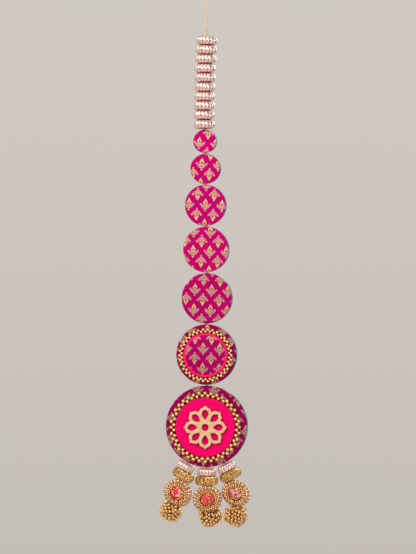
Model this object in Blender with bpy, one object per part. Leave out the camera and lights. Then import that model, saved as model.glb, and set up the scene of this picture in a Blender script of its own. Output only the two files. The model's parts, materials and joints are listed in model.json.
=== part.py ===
"""A door hanging: fluted beads on a doubled cord, seven cloth-covered discs and three drops.

Lengths are metres and +Z is up. The front faces -Y. The origin is the point inside the cord's
loop that bears on a hook. Every thread link that lets a piece swing is an empty on its axis.
"""

import math
from dataclasses import dataclass

import bmesh
import bpy
from mathutils import Matrix, Vector

MM = 0.001
FULL_TURN = 2.0 * math.pi

# Gaps between neighbours
GLUE_GAP = 0.3 * MM
STACK_GAP = 0.36 * MM
LINK_GAP = 0.6 * MM

# Hanging cord: one strand doubled through the beads
STRAND_DIAMETER = 1.3 * MM
STRAND_HALF_SPACING = 0.8 * MM
LOOP_HALF_WIDTH = 4.5 * MM
LOOP_TO_BEADS = 64.7 * MM
CORD_STRAIGHT_SPACING = 5.2 * MM
CORD_LOOP_SPACING = 2.6 * MM
CORD_LOOP_START = -30.0 * MM
CURVE_STEPS = 24

# Melon beads
BEAD_COUNT = 10
BEAD_DIAMETER = 20.2 * MM
BEAD_HEIGHT = 8.5 * MM
BEAD_BORE_RADIUS = 2.1 * MM
BEAD_FLUTES = 16
DROP_BEAD_SCALE = 0.91

# Covered boards
BOARD_THICKNESS = 3.0 * MM
BOARD_RIM = 1.5 * MM
BACKING_THICKNESS = 1.5 * MM
BACKING_RIM = 1.2 * MM
BACKING_SHIFT = 1.2 * MM
BACKING_INSET = 0.6 * MM
PAD_DIAMETER = 41.8 * MM
PAD_THICKNESS = 4.0 * MM
PAD_RIM = 1.6 * MM
PINK_BOARD_DIAMETER = 56.2 * MM
PINK_BOARD_THICKNESS = 2.4 * MM
PINK_BOARD_RIM = 0.6 * MM
TRIM_BOARD_STEPS = 48
DISC_DEPTH = BOARD_THICKNESS + GLUE_GAP + BACKING_THICKNESS

# Cut-out ornament
ORNAMENT_THICKNESS = 2.5 * MM
ORNAMENT_PETALS = 8
ORNAMENT_HUB_HOLE = 3.4 * MM
ORNAMENT_HUB_STEPS = 12

# Drops
RING_HEIGHT = 8.2 * MM
RING_RADIUS = 11.0 * MM
RING_HOLE_RADIUS = 3.6 * MM
RING_STEPS = 24
RING_LEAN_SHARE = 0.97
MEDALLION_RADIUS = 13.8 * MM
MEDALLION_HOLE_RADIUS = 7.3 * MM
MEDALLION_HALF_DEPTH = 2.4 * MM
MEDALLION_STEPS = 28
MEDALLION_FORWARD = 2.0 * MM
MEDALLION_RIM_GAP = 0.1 * MM
DOME_RADIUS = 6.9 * MM
DOME_RISE = 5.2 * MM
DOME_SINK = 1.5 * MM
BUNCH_RADIUS = 10.4 * MM
BUNCH_HOLLOW_RADIUS = 8.9 * MM
BUNCH_BACK = 4.5 * MM


@dataclass(frozen=True)
class BeadSeat:
    """How far one melon bead sits from the plumb line, and its tilt in the front view."""

    shift: float
    tilt: float


@dataclass(frozen=True)
class DiscSize:
    """One covered disc: its diameter, its shift from the plumb line, and its rim's steps."""

    diameter: float
    shift: float
    steps: int


@dataclass(frozen=True)
class BeadRing:
    """A zigzag of sewn beads: pairs of an outer and an inner bead."""

    pairs: int
    outer_radius: float
    inner_radius: float
    bead_radius: float


@dataclass(frozen=True)
class DropPose:
    """Where a drop's pieces hang: degrees from straight down, seen from the lowest disc's centre."""

    name: str
    bead_angle: float
    ring_angle: float
    medallion_angle: float
    medallion_yaw: float
    medallion_nod: float
    bunch_angle: float
    bunch_reach: float


BEAD_SEATS = (
    BeadSeat(shift=0.5 * MM, tilt=2.0),
    BeadSeat(shift=0.2 * MM, tilt=1.0),
    BeadSeat(shift=-0.5 * MM, tilt=0.0),
    BeadSeat(shift=-1.2 * MM, tilt=-0.5),
    BeadSeat(shift=-1.1 * MM, tilt=0.5),
    BeadSeat(shift=-1.4 * MM, tilt=1.0),
    BeadSeat(shift=-1.9 * MM, tilt=0.0),
    BeadSeat(shift=-2.0 * MM, tilt=-0.5),
    BeadSeat(shift=-2.2 * MM, tilt=0.5),
    BeadSeat(shift=-1.6 * MM, tilt=0.0),
)

DISCS = (
    DiscSize(diameter=22.3 * MM, shift=-1.0 * MM, steps=24),
    DiscSize(diameter=28.8 * MM, shift=-0.5 * MM, steps=28),
    DiscSize(diameter=39.2 * MM, shift=-0.5 * MM, steps=36),
    DiscSize(diameter=43.5 * MM, shift=0.0 * MM, steps=36),
    DiscSize(diameter=48.1 * MM, shift=0.8 * MM, steps=40),
    DiscSize(diameter=57.6 * MM, shift=0.5 * MM, steps=48),
    DiscSize(diameter=77.5 * MM, shift=0.6 * MM, steps=56),
)

# How far the trim of discs 6 and 7 is sewn off their middles: to the right, and up
TRIM_SHIFT_6 = (-1.0 * MM, -0.6 * MM)
TRIM_SHIFT_7 = (-1.4 * MM, -0.7 * MM)

RING_OF_DISC_6 = BeadRing(34, 24.5 * MM, 22.6 * MM, 1.35 * MM)
RING_OF_DISC_7 = BeadRing(36, 32.5 * MM, 30.0 * MM, 1.6 * MM)

DROPS = (
    DropPose("left", -28.0, -25.5, -23.4, -17.0, 12.0, -23.0, 86.0 * MM),
    DropPose("middle", 0.0, 0.0, 0.6, 0.0, 17.0, 2.4, 85.5 * MM),
    DropPose("right", 26.0, 26.0, 23.5, -19.0, 20.0, 18.5, 87.5 * MM),
)

# The doubled cord's route, one half: height below the loop, and distance out from its middle
LOOP_HALF_ROUTE = (
    (-44.0 * MM, STRAND_HALF_SPACING),
    (-33.0 * MM, 0.85 * MM),
    (-26.0 * MM, 1.15 * MM),
    (-20.0 * MM, 2.05 * MM),
    (-14.0 * MM, 3.35 * MM),
    (-8.5 * MM, 4.25 * MM),
    (-3.85 * MM, LOOP_HALF_WIDTH),
    (-1.6 * MM, 3.9 * MM),
    (0.05 * MM, 2.25 * MM),
)
LOOP_TOP = (0.65 * MM, 0.0)


def clear_scene():
    """Remove whatever the file already holds."""
    for item in list(bpy.data.objects):
        bpy.data.objects.remove(item, do_unlink=True)


def make_finish(name, colour, roughness, metallic=0.0):
    """Return a plain Principled material."""
    material = bpy.data.materials.new(name)
    material.use_nodes = True
    shader = material.node_tree.nodes["Principled BSDF"]
    shader.inputs["Base Color"].default_value = (*colour, 1.0)
    shader.inputs["Roughness"].default_value = roughness
    shader.inputs["Metallic"].default_value = metallic
    return material


def make_finishes():
    """Return the finishes by name."""
    return {
        "cream cord": make_finish("cream cord", (0.82, 0.67, 0.45), 0.7),
        "plated bead": make_finish("plated bead", (0.88, 0.80, 0.78), 0.22, 0.9),
        "brocade": make_finish("brocade", (0.62, 0.01, 0.20), 0.55),
        "teal cloth": make_finish("teal cloth", (0.0, 0.30, 0.30), 0.7),
        "pink cloth": make_finish("pink cloth", (0.95, 0.01, 0.16), 0.6),
        "gold bead": make_finish("gold bead", (0.80, 0.52, 0.18), 0.25, 1.0),
        "gold paint": make_finish("gold paint", (0.76, 0.52, 0.25), 0.5, 0.3),
        "glitter gold": make_finish("glitter gold", (0.58, 0.34, 0.08), 0.4, 0.9),
        "bugle bead": make_finish("bugle bead", (0.80, 0.50, 0.32), 0.3, 0.8),
        "pink enamel": make_finish("pink enamel", (0.85, 0.02, 0.18), 0.25),
    }


def place(name, mesh, finish, matrix=None, parent=None, smooth=True):
    """Make an object of a mesh, in the frame of its parent link."""
    mesh.name = name
    if smooth:
        mesh.shade_smooth()
        mesh.set_sharp_from_angle(angle=math.radians(35.0))
    mesh.materials.append(finish)
    item = bpy.data.objects.new(name, mesh)
    bpy.context.scene.collection.objects.link(item)
    item.parent = parent
    item.matrix_local = matrix or Matrix.Identity(4)
    return item


def make_link(name, position, tilt=0.0, parent=None):
    """Make the empty of a thread link: the piece below it swings about the empty's X axis."""
    empty = bpy.data.objects.new(name, None)
    bpy.context.scene.collection.objects.link(empty)
    empty.parent = parent
    empty.matrix_local = Matrix.Translation(position) @ Matrix.Rotation(tilt, 4, "Y")
    return empty


def hide_guide(item):
    """Mark a helper that only cuts another object."""
    item.hide_render = True
    item.display_type = "WIRE"


def finished_mesh(bm):
    """Close a bmesh into a mesh whose faces point out."""
    bmesh.ops.recalc_face_normals(bm, faces=bm.faces)
    mesh = bpy.data.meshes.new("piece")
    bm.to_mesh(mesh)
    bm.free()
    return mesh


def spun_ring(profile, steps):
    """Spin a closed profile of (radius, height) points about Z."""
    bm = bmesh.new()
    verts = [bm.verts.new((radius, 0.0, height)) for radius, height in profile]
    edges = [bm.edges.new((verts[i - 1], verts[i])) for i in range(len(verts))]
    bmesh.ops.spin(
        bm, geom=verts + edges, cent=(0, 0, 0), axis=(0, 0, 1), dvec=(0, 0, 0),
        angle=FULL_TURN, steps=steps, use_merge=True, use_duplicate=False,
    )
    return bm


def column_of(vert, steps):
    """Return which column of a spun ring a vertex stands in."""
    turn = math.atan2(vert.co.y, vert.co.x) / FULL_TURN
    return round(turn * steps) % steps


def rounded_board(diameter, thickness, rim, steps, segments=2):
    """A round board with its axis on Z and the rim of its upper face rounded."""
    bm = bmesh.new()
    bmesh.ops.create_cone(
        bm, cap_ends=True, cap_tris=False, segments=steps,
        radius1=diameter / 2, radius2=diameter / 2, depth=thickness,
    )
    rim_edges = [edge for edge in bm.edges if all(vert.co.z > 0.0 for vert in edge.verts)]
    bmesh.ops.bevel(
        bm, geom=rim_edges, offset=rim, offset_type="OFFSET", segments=segments,
        profile=0.5, affect="EDGES", material=-1,
    )
    return finished_mesh(bm)


def melon_bead(scale=1.0):
    """A flattened bead with its bore on Z, ribbed like a melon."""
    radius = BEAD_DIAMETER / 2
    half = BEAD_HEIGHT / 2
    upper = (
        (BEAD_BORE_RADIUS / scale, half),
        (0.73 * radius, half),
        (radius, 0.34 * half),
    )
    profile = upper + tuple((r, -z) for r, z in reversed(upper))
    steps = 2 * BEAD_FLUTES
    bm = spun_ring(profile, steps)
    for vert in bm.verts:
        reach = math.hypot(vert.co.x, vert.co.y)
        if column_of(vert, steps) % 2 and reach > 0.6 * radius:
            groove = 0.88 if reach > 0.9 * radius else 0.93
            vert.co.x *= groove
            vert.co.y *= groove
    bmesh.ops.scale(bm, vec=(scale, scale, scale), verts=bm.verts)
    return finished_mesh(bm)


def zigzag_ring(ring):
    """A ring of beads that step out and in, joined at their waists, with its axis on Z."""
    steps = 4 * ring.pairs
    middle = (ring.outer_radius + ring.inner_radius) / 2
    size = ring.bead_radius
    profile = ((middle + size, 0.0), (middle, size), (middle - size, 0.0), (middle, -size))
    centres = (ring.outer_radius, middle, ring.inner_radius, middle)
    swell = (1.0, 0.55, 1.0, 0.55)
    bm = spun_ring(profile, steps)
    for vert in bm.verts:
        step = column_of(vert, steps) % 4
        reach = math.hypot(vert.co.x, vert.co.y)
        new_reach = centres[step] + (reach - middle) * swell[step]
        vert.co.x *= new_reach / reach
        vert.co.y *= new_reach / reach
        vert.co.z *= swell[step]
    return finished_mesh(bm)


def petal_points(half_outline, turn):
    """Mirror half of a petal's outline, given as degrees from its middle and a radius, and turn it."""
    left = [(-degrees, radius) for degrees, radius in half_outline]
    right = [(degrees, radius) for degrees, radius in reversed(half_outline) if degrees]
    return [
        Vector((radius * math.sin(a), radius * math.cos(a), 0.0))
        for a, radius in ((math.radians(d) + turn, r) for d, r in left + right)
    ]


def lotus_ornament():
    """An eight-petalled rosette cut out of thin board, standing on Z = 0 with its front at +Z."""
    petal_edge = (
        (22.5, 15.4 * MM), (16.5, 17.6 * MM), (10.0, 18.6 * MM), (5.0, 19.2 * MM), (0.0, 20.6 * MM),
    )
    petal_hole = (
        (0.0, 7.4 * MM), (10.5, 9.3 * MM), (14.5, 12.0 * MM), (11.5, 14.8 * MM),
        (5.0, 16.1 * MM), (0.0, 17.2 * MM),
    )
    turns = [FULL_TURN * i / ORNAMENT_PETALS for i in range(ORNAMENT_PETALS)]
    outline = []
    for turn in turns:
        outline += petal_points(petal_edge, turn)[:-1]
    loops = [outline]
    loops += [petal_loop(petal_hole, turn) for turn in turns]
    hub = [FULL_TURN * i / ORNAMENT_HUB_STEPS for i in range(ORNAMENT_HUB_STEPS)]
    loops.append([Vector((math.sin(a), math.cos(a), 0.0)) * ORNAMENT_HUB_HOLE for a in hub])
    bm = bmesh.new()
    for loop in loops:
        verts = [bm.verts.new(point) for point in loop]
        for i in range(len(verts)):
            bm.edges.new((verts[i - 1], verts[i]))
    bmesh.ops.triangle_fill(bm, use_beauty=True, use_dissolve=False, edges=bm.edges, normal=(0, 0, 1))
    raised = bmesh.ops.extrude_face_region(bm, geom=bm.faces, use_keep_orig=True)
    lifted = [item for item in raised["geom"] if isinstance(item, bmesh.types.BMVert)]
    bmesh.ops.translate(bm, verts=lifted, vec=(0, 0, ORNAMENT_THICKNESS))
    return finished_mesh(bm)


def petal_loop(half_outline, turn):
    """A closed petal outline that starts and ends on the petal's middle line."""
    left = petal_points(half_outline, turn)[:len(half_outline)]
    right = petal_points(half_outline[1:-1], turn)[len(half_outline) - 2:]
    return left + right


def glitter_ring():
    """A thick ring with rounded shoulders."""
    half = RING_HEIGHT / 2
    upper = (
        (RING_HOLE_RADIUS, 0.75 * half),
        (0.78 * RING_RADIUS, half),
        (RING_RADIUS, 0.4 * half),
    )
    profile = upper + tuple((r, -z) for r, z in reversed(upper))
    return finished_mesh(spun_ring(profile, RING_STEPS))


def bugle_ring():
    """The medallion's rounded band of bugle beads, with its axis on Z."""
    middle = (MEDALLION_RADIUS + MEDALLION_HOLE_RADIUS) / 2
    half_width = (MEDALLION_RADIUS - MEDALLION_HOLE_RADIUS) / 2
    sides = 6
    profile = [
        (
            middle + half_width * math.cos(FULL_TURN * i / sides),
            MEDALLION_HALF_DEPTH * math.sin(FULL_TURN * i / sides) / math.sin(FULL_TURN / sides),
        )
        for i in range(sides)
    ]
    return finished_mesh(spun_ring(profile, MEDALLION_STEPS))


def enamel_dome():
    """The medallion's domed centre, flat behind."""
    bm = bmesh.new()
    bmesh.ops.create_uvsphere(bm, u_segments=16, v_segments=8, radius=DOME_RADIUS)
    bmesh.ops.scale(bm, vec=(1.0, 1.0, DOME_RISE / DOME_RADIUS), verts=bm.verts)
    everything = bm.verts[:] + bm.edges[:] + bm.faces[:]
    bmesh.ops.bisect_plane(
        bm, geom=everything, dist=1e-6, plane_co=(0, 0, -DOME_SINK), plane_no=(0, 0, 1),
        clear_inner=True,
    )
    rim = [edge for edge in bm.edges if edge.is_boundary]
    bmesh.ops.holes_fill(bm, edges=rim, sides=0)
    return finished_mesh(bm)


def bead_bunch():
    """A bunch of small beads as one lumpy body: every other point stands out as a bead."""
    bm = bmesh.new()
    bmesh.ops.create_icosphere(bm, subdivisions=2, radius=BUNCH_RADIUS)
    bmesh.ops.subdivide_edges(bm, edges=bm.edges, cuts=1, use_grid_fill=True)
    for vert in bm.verts:
        between_beads = vert.co.length < 0.99 * BUNCH_RADIUS
        vert.co = vert.co.normalized() * (BUNCH_HOLLOW_RADIUS if between_beads else BUNCH_RADIUS)
    return finished_mesh(bm)


def medallion_envelope():
    """A round cutter as large as a medallion and the gap around it."""
    bm = bmesh.new()
    radius = MEDALLION_RADIUS + GLUE_GAP
    bmesh.ops.create_cone(
        bm, cap_ends=True, cap_tris=False, segments=32, radius1=radius, radius2=radius,
        depth=2 * (MEDALLION_HALF_DEPTH + GLUE_GAP),
    )
    return finished_mesh(bm)


def cut_away(item, guide):
    """Cut a guide's shape out of an object."""
    modifier = item.modifiers.new("room for the medallion", "BOOLEAN")
    modifier.operation = "DIFFERENCE"
    modifier.solver = "EXACT"
    modifier.object = guide


def cord_points():
    """The doubled cord's centreline, from disc 1 up one side, round the loop and down the other."""
    half = []
    for index in reversed(range(BEAD_COUNT)):
        shift = BEAD_SEATS[index].shift
        half.append((bead_centre_z(index), STRAND_HALF_SPACING, shift))
    end_z, end_shift = bead_centre_z(BEAD_COUNT - 1) - 0.45 * BEAD_HEIGHT, BEAD_SEATS[-1].shift
    half.insert(0, (end_z, STRAND_HALF_SPACING, end_shift))
    half.append((-54.0 * MM, STRAND_HALF_SPACING, 0.5 * MM))
    half += [(z, out, 0.5 * MM * z / LOOP_HALF_ROUTE[0][0]) for z, out in LOOP_HALF_ROUTE]
    right = [Vector((shift + out, 0.0, z)) for z, out, shift in half]
    left = [Vector((shift - out, 0.0, z)) for z, out, shift in reversed(half)]
    return right + [Vector((LOOP_TOP[1], 0.0, LOOP_TOP[0]))] + left


def smooth_route(points):
    """Read points from a smooth curve through the route's own points, closer together in the loop."""
    dense = []
    for i in range(len(points) - 1):
        before = points[max(i - 1, 0)]
        start, end = points[i], points[i + 1]
        after = points[min(i + 2, len(points) - 1)]
        for step in range(CURVE_STEPS):
            t = step / CURVE_STEPS
            dense.append(
                0.5 * (
                    2 * start + (end - before) * t
                    + (2 * before - 5 * start + 4 * end - after) * t ** 2
                    + (3 * start - before - 3 * end + after) * t ** 3
                )
            )
    dense.append(points[-1])
    read = [dense[0]]
    travelled = 0.0
    for start, end in zip(dense, dense[1:-1]):
        travelled += (end - start).length
        spacing = CORD_LOOP_SPACING if end.z > CORD_LOOP_START else CORD_STRAIGHT_SPACING
        if travelled >= spacing:
            read.append(end)
            travelled = 0.0
    return read + [dense[-1]]


def bead_centre_z(index):
    """Height of a melon bead's middle, counted from the top."""
    return -LOOP_TO_BEADS - (index + 0.5) * BEAD_HEIGHT - index * STACK_GAP


def build_cord(finish):
    """The doubled cord with its loop, as one plain tube."""
    curve = bpy.data.curves.new("hanging_cord", "CURVE")
    curve.dimensions = "3D"
    curve.bevel_depth = STRAND_DIAMETER / 2
    curve.bevel_resolution = 2
    curve.use_fill_caps = True
    route = smooth_route(cord_points())
    spline = curve.splines.new("POLY")
    spline.points.add(len(route) - 1)
    for point, spot in zip(spline.points, route):
        point.co = (*spot, 1.0)
    curve.materials.append(finish)
    cord = bpy.data.objects.new("hanging_cord", curve)
    bpy.context.scene.collection.objects.link(cord)


def build_bead_string(finish):
    """Ten melon beads stacked on the cord."""
    mesh = melon_bead()
    for index, seat in enumerate(BEAD_SEATS):
        centre = Vector((seat.shift, 0.0, bead_centre_z(index)))
        spin = Matrix.Rotation(FULL_TURN * 0.37 * index, 4, "Z")
        tilt = Matrix.Rotation(math.radians(seat.tilt), 4, "Y")
        place(
            f"melon_bead_{index + 1:02d}", mesh.copy(), finish,
            Matrix.Translation(centre) @ tilt @ spin,
        )


def facing_front(x, y, z):
    """Seat a piece at a point with its own +Z towards the front."""
    return Matrix.Translation((x, y, z)) @ Matrix.Rotation(math.pi / 2, 4, "X")


def build_disc(number, size, link, finishes):
    """A brocade-covered board and its teal backing, hung below a link."""
    middle = -LINK_GAP / 2 - size.diameter / 2
    front_face = -DISC_DEPTH / 2
    place(
        f"disc_{number}_brocade",
        rounded_board(size.diameter, BOARD_THICKNESS, BOARD_RIM, size.steps),
        finishes["brocade"],
        facing_front(0.0, front_face + BOARD_THICKNESS / 2, middle),
        link,
    )
    backing = rounded_board(
        size.diameter - 2 * BACKING_INSET, BACKING_THICKNESS, BACKING_RIM, size.steps, segments=1,
    )
    place(
        f"disc_{number}_backing", backing, finishes["teal cloth"],
        facing_front(BACKING_SHIFT, DISC_DEPTH / 2 - BACKING_THICKNESS / 2, middle)
        @ Matrix.Rotation(math.pi, 4, "X"),
        link,
    )
    return middle


def build_disc_6_trim(link, middle, finishes):
    """The raised brocade pad and its ring of beads."""
    face = -DISC_DEPTH / 2 - GLUE_GAP
    aside, up = TRIM_SHIFT_6
    place(
        "disc_6_pad",
        rounded_board(PAD_DIAMETER, PAD_THICKNESS, PAD_RIM, TRIM_BOARD_STEPS),
        finishes["brocade"],
        facing_front(aside, face - PAD_THICKNESS / 2, middle + up), link,
    )
    place(
        "disc_6_bead_ring", zigzag_ring(RING_OF_DISC_6), finishes["gold bead"],
        facing_front(aside, face - RING_OF_DISC_6.bead_radius, middle + up), link,
    )


def build_disc_7_trim(link, middle, finishes):
    """The plain pink board, its ring of beads and the cut-out ornament."""
    face = -DISC_DEPTH / 2 - GLUE_GAP
    aside, up = TRIM_SHIFT_7
    place(
        "disc_7_pink_board",
        rounded_board(
            PINK_BOARD_DIAMETER, PINK_BOARD_THICKNESS, PINK_BOARD_RIM, TRIM_BOARD_STEPS, segments=1,
        ),
        finishes["pink cloth"],
        facing_front(aside, face - PINK_BOARD_THICKNESS / 2, middle + up), link,
    )
    place(
        "disc_7_bead_ring", zigzag_ring(RING_OF_DISC_7), finishes["gold bead"],
        facing_front(aside, face - RING_OF_DISC_7.bead_radius, middle + up), link,
    )
    place(
        "disc_7_ornament", lotus_ornament(), finishes["gold paint"],
        facing_front(aside, face - PINK_BOARD_THICKNESS - GLUE_GAP, middle + up), link, smooth=False,
    )


def build_discs(finishes):
    """Hang the seven discs from one another, and return the last link and the disc's centre."""
    top = bead_centre_z(BEAD_COUNT - 1) - BEAD_HEIGHT / 2
    link, previous, middle = None, Vector((0.0, 0.0, 0.0)), 0.0
    for number, size in enumerate(DISCS, start=1):
        spot = Vector((size.shift, 0.0, top - LINK_GAP / 2))
        link = make_link(f"disc_{number}_link", spot - previous, parent=link)
        middle = build_disc(number, size, link, finishes)
        if number == 6:
            build_disc_6_trim(link, middle, finishes)
        if number == 7:
            build_disc_7_trim(link, middle, finishes)
        previous = spot
        top -= size.diameter + LINK_GAP
    return link, Vector((0.0, 0.0, middle))


def below_disc(centre, degrees, reach):
    """A point at a distance from the lowest disc's centre, turned from straight down to the right."""
    turn = math.radians(degrees)
    return centre + Vector((math.sin(turn), 0.0, -math.cos(turn))) * reach


def build_drop(pose, disc_link, centre, finishes):
    """One drop: melon bead, glitter ring, medallion and bunch of beads."""
    disc_radius = DISCS[-1].diameter / 2
    lean = -math.radians(pose.bead_angle)
    hinge = below_disc(centre, pose.bead_angle, disc_radius + LINK_GAP / 2)
    link = make_link(f"drop_{pose.name}_link", hinge, lean, disc_link)
    to_link = (Matrix.Translation(hinge) @ Matrix.Rotation(lean, 4, "Y")).inverted()

    bead_half = BEAD_HEIGHT * DROP_BEAD_SCALE / 2
    bead_reach = disc_radius + LINK_GAP + bead_half
    bead_spot = below_disc(centre, pose.bead_angle, bead_reach)
    place(
        f"drop_{pose.name}_melon_bead", melon_bead(DROP_BEAD_SCALE), finishes["plated bead"],
        to_link @ Matrix.Translation(bead_spot) @ Matrix.Rotation(lean, 4, "Y"), link,
    )
    ring_reach = bead_reach + bead_half + STACK_GAP + RING_HEIGHT / 2
    ring_spot = below_disc(centre, pose.ring_angle, ring_reach)
    ring_lean = lean * RING_LEAN_SHARE
    place(
        f"drop_{pose.name}_gold_ring", glitter_ring(), finishes["glitter gold"],
        to_link @ Matrix.Translation(ring_spot) @ Matrix.Rotation(ring_lean, 4, "Y"), link,
    )
    turned = (
        Matrix.Rotation(math.radians(pose.medallion_yaw), 4, "Z")
        @ Matrix.Rotation(math.pi / 2 + math.radians(pose.medallion_nod), 4, "X")
    )
    lean_out = turned.col[2].to_3d().dot(below_disc(Vector(), pose.medallion_angle, 1.0))
    rim_reach = MEDALLION_RADIUS * math.sqrt(1.0 - lean_out ** 2)
    medallion_reach = ring_reach + RING_HEIGHT / 2 + MEDALLION_RIM_GAP + rim_reach
    spot = below_disc(centre, pose.medallion_angle, medallion_reach)
    spot.y -= MEDALLION_FORWARD
    facing = Matrix.Translation(spot) @ turned
    place(
        f"drop_{pose.name}_bugle_ring", bugle_ring(), finishes["bugle bead"],
        to_link @ facing, link,
    )
    place(
        f"drop_{pose.name}_dome", enamel_dome(), finishes["pink enamel"],
        to_link @ facing, link,
    )
    bunch_spot = below_disc(centre, pose.bunch_angle, pose.bunch_reach)
    bunch_spot.y += BUNCH_BACK
    seat = to_link @ Matrix.Translation(bunch_spot)
    bunch = place(f"drop_{pose.name}_bead_bunch", bead_bunch(), finishes["gold bead"], seat, link)
    cutter = place(
        f"{pose.name} medallion guide", medallion_envelope(), finishes["gold bead"],
        to_link @ facing, link,
    )
    hide_guide(cutter)
    cut_away(bunch, cutter)


def main():
    """Build the whole hanging."""
    clear_scene()
    finishes = make_finishes()
    build_cord(finishes["cream cord"])
    build_bead_string(finishes["plated bead"])
    disc_link, centre = build_discs(finishes)
    for pose in DROPS:
        build_drop(pose, disc_link, centre, finishes)


main()
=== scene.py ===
"""Looks of a door hanging: brocade-covered discs below a beaded cord, with three beaded drops.

Lengths are metres and +Z is up. The front faces -Y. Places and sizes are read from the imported
frame, and each class makes one sub-assembly of the hanging in place around it.
"""

from __future__ import annotations

import json
import logging
import math
import random
from collections.abc import Callable, Iterable, Sequence
from dataclasses import dataclass, field
from enum import Enum, StrEnum
from functools import cache
from itertools import accumulate

import bmesh
import bpy
import numpy as np
from mathutils import Matrix, Vector, noise

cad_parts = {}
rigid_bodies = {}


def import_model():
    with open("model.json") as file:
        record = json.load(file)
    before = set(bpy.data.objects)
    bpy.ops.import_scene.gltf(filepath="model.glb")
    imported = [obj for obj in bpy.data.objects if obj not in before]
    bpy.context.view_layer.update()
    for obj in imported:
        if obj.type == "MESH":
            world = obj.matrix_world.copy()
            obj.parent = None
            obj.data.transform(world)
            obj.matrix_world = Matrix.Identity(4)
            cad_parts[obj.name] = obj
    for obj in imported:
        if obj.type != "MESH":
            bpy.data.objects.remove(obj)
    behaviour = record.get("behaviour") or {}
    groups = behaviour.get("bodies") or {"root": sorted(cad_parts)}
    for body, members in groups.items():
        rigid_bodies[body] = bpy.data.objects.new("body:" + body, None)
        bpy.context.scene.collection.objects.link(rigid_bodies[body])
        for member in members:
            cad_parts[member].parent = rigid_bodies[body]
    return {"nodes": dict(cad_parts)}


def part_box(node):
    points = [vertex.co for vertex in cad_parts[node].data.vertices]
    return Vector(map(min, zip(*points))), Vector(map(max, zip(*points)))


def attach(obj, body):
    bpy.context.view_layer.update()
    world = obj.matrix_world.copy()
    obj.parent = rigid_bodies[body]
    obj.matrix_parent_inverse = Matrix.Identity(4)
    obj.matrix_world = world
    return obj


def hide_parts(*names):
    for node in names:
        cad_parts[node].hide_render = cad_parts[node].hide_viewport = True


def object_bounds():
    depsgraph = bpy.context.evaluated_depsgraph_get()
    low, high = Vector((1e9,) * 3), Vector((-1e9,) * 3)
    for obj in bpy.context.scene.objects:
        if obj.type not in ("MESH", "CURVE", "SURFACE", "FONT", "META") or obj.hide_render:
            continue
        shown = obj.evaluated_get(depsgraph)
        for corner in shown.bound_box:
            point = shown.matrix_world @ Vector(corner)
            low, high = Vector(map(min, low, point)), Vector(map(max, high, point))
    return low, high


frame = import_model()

CAD_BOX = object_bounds()
LOG = logging.getLogger("door hanging")

MM = 0.001
FULL_TURN = 2.0 * math.pi
FRONT = Vector((0.0, -1.0, 0.0))
UP = Vector((0.0, 0.0, 1.0))

# The photograph's frame, and the size of one of its pixels on the hanging
PICTURE_WIDTH_PX = 416
PICTURE_HEIGHT_PX = 554
PIXEL = 0.95 * MM
ORIGIN_COLUMN_PX = 206.0
ORIGIN_ROW_PX = -32.0

Colour = tuple[float, float, float]
Socket = bpy.types.NodeSocket
Value = float | Socket


class Facing(Enum):
    """Which way the face of a covered board looks."""

    FRONT = "front"
    BACK = "back"


class Side(StrEnum):
    """Which of the three drops a piece belongs to."""

    LEFT = "left"
    MIDDLE = "middle"
    RIGHT = "right"

    @property
    def seed(self) -> int:
        """Return the number that the drop's chance values start from."""
        return {Side.LEFT: 4, Side.MIDDLE: 6, Side.RIGHT: 5}[self]


# Node trees


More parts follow.
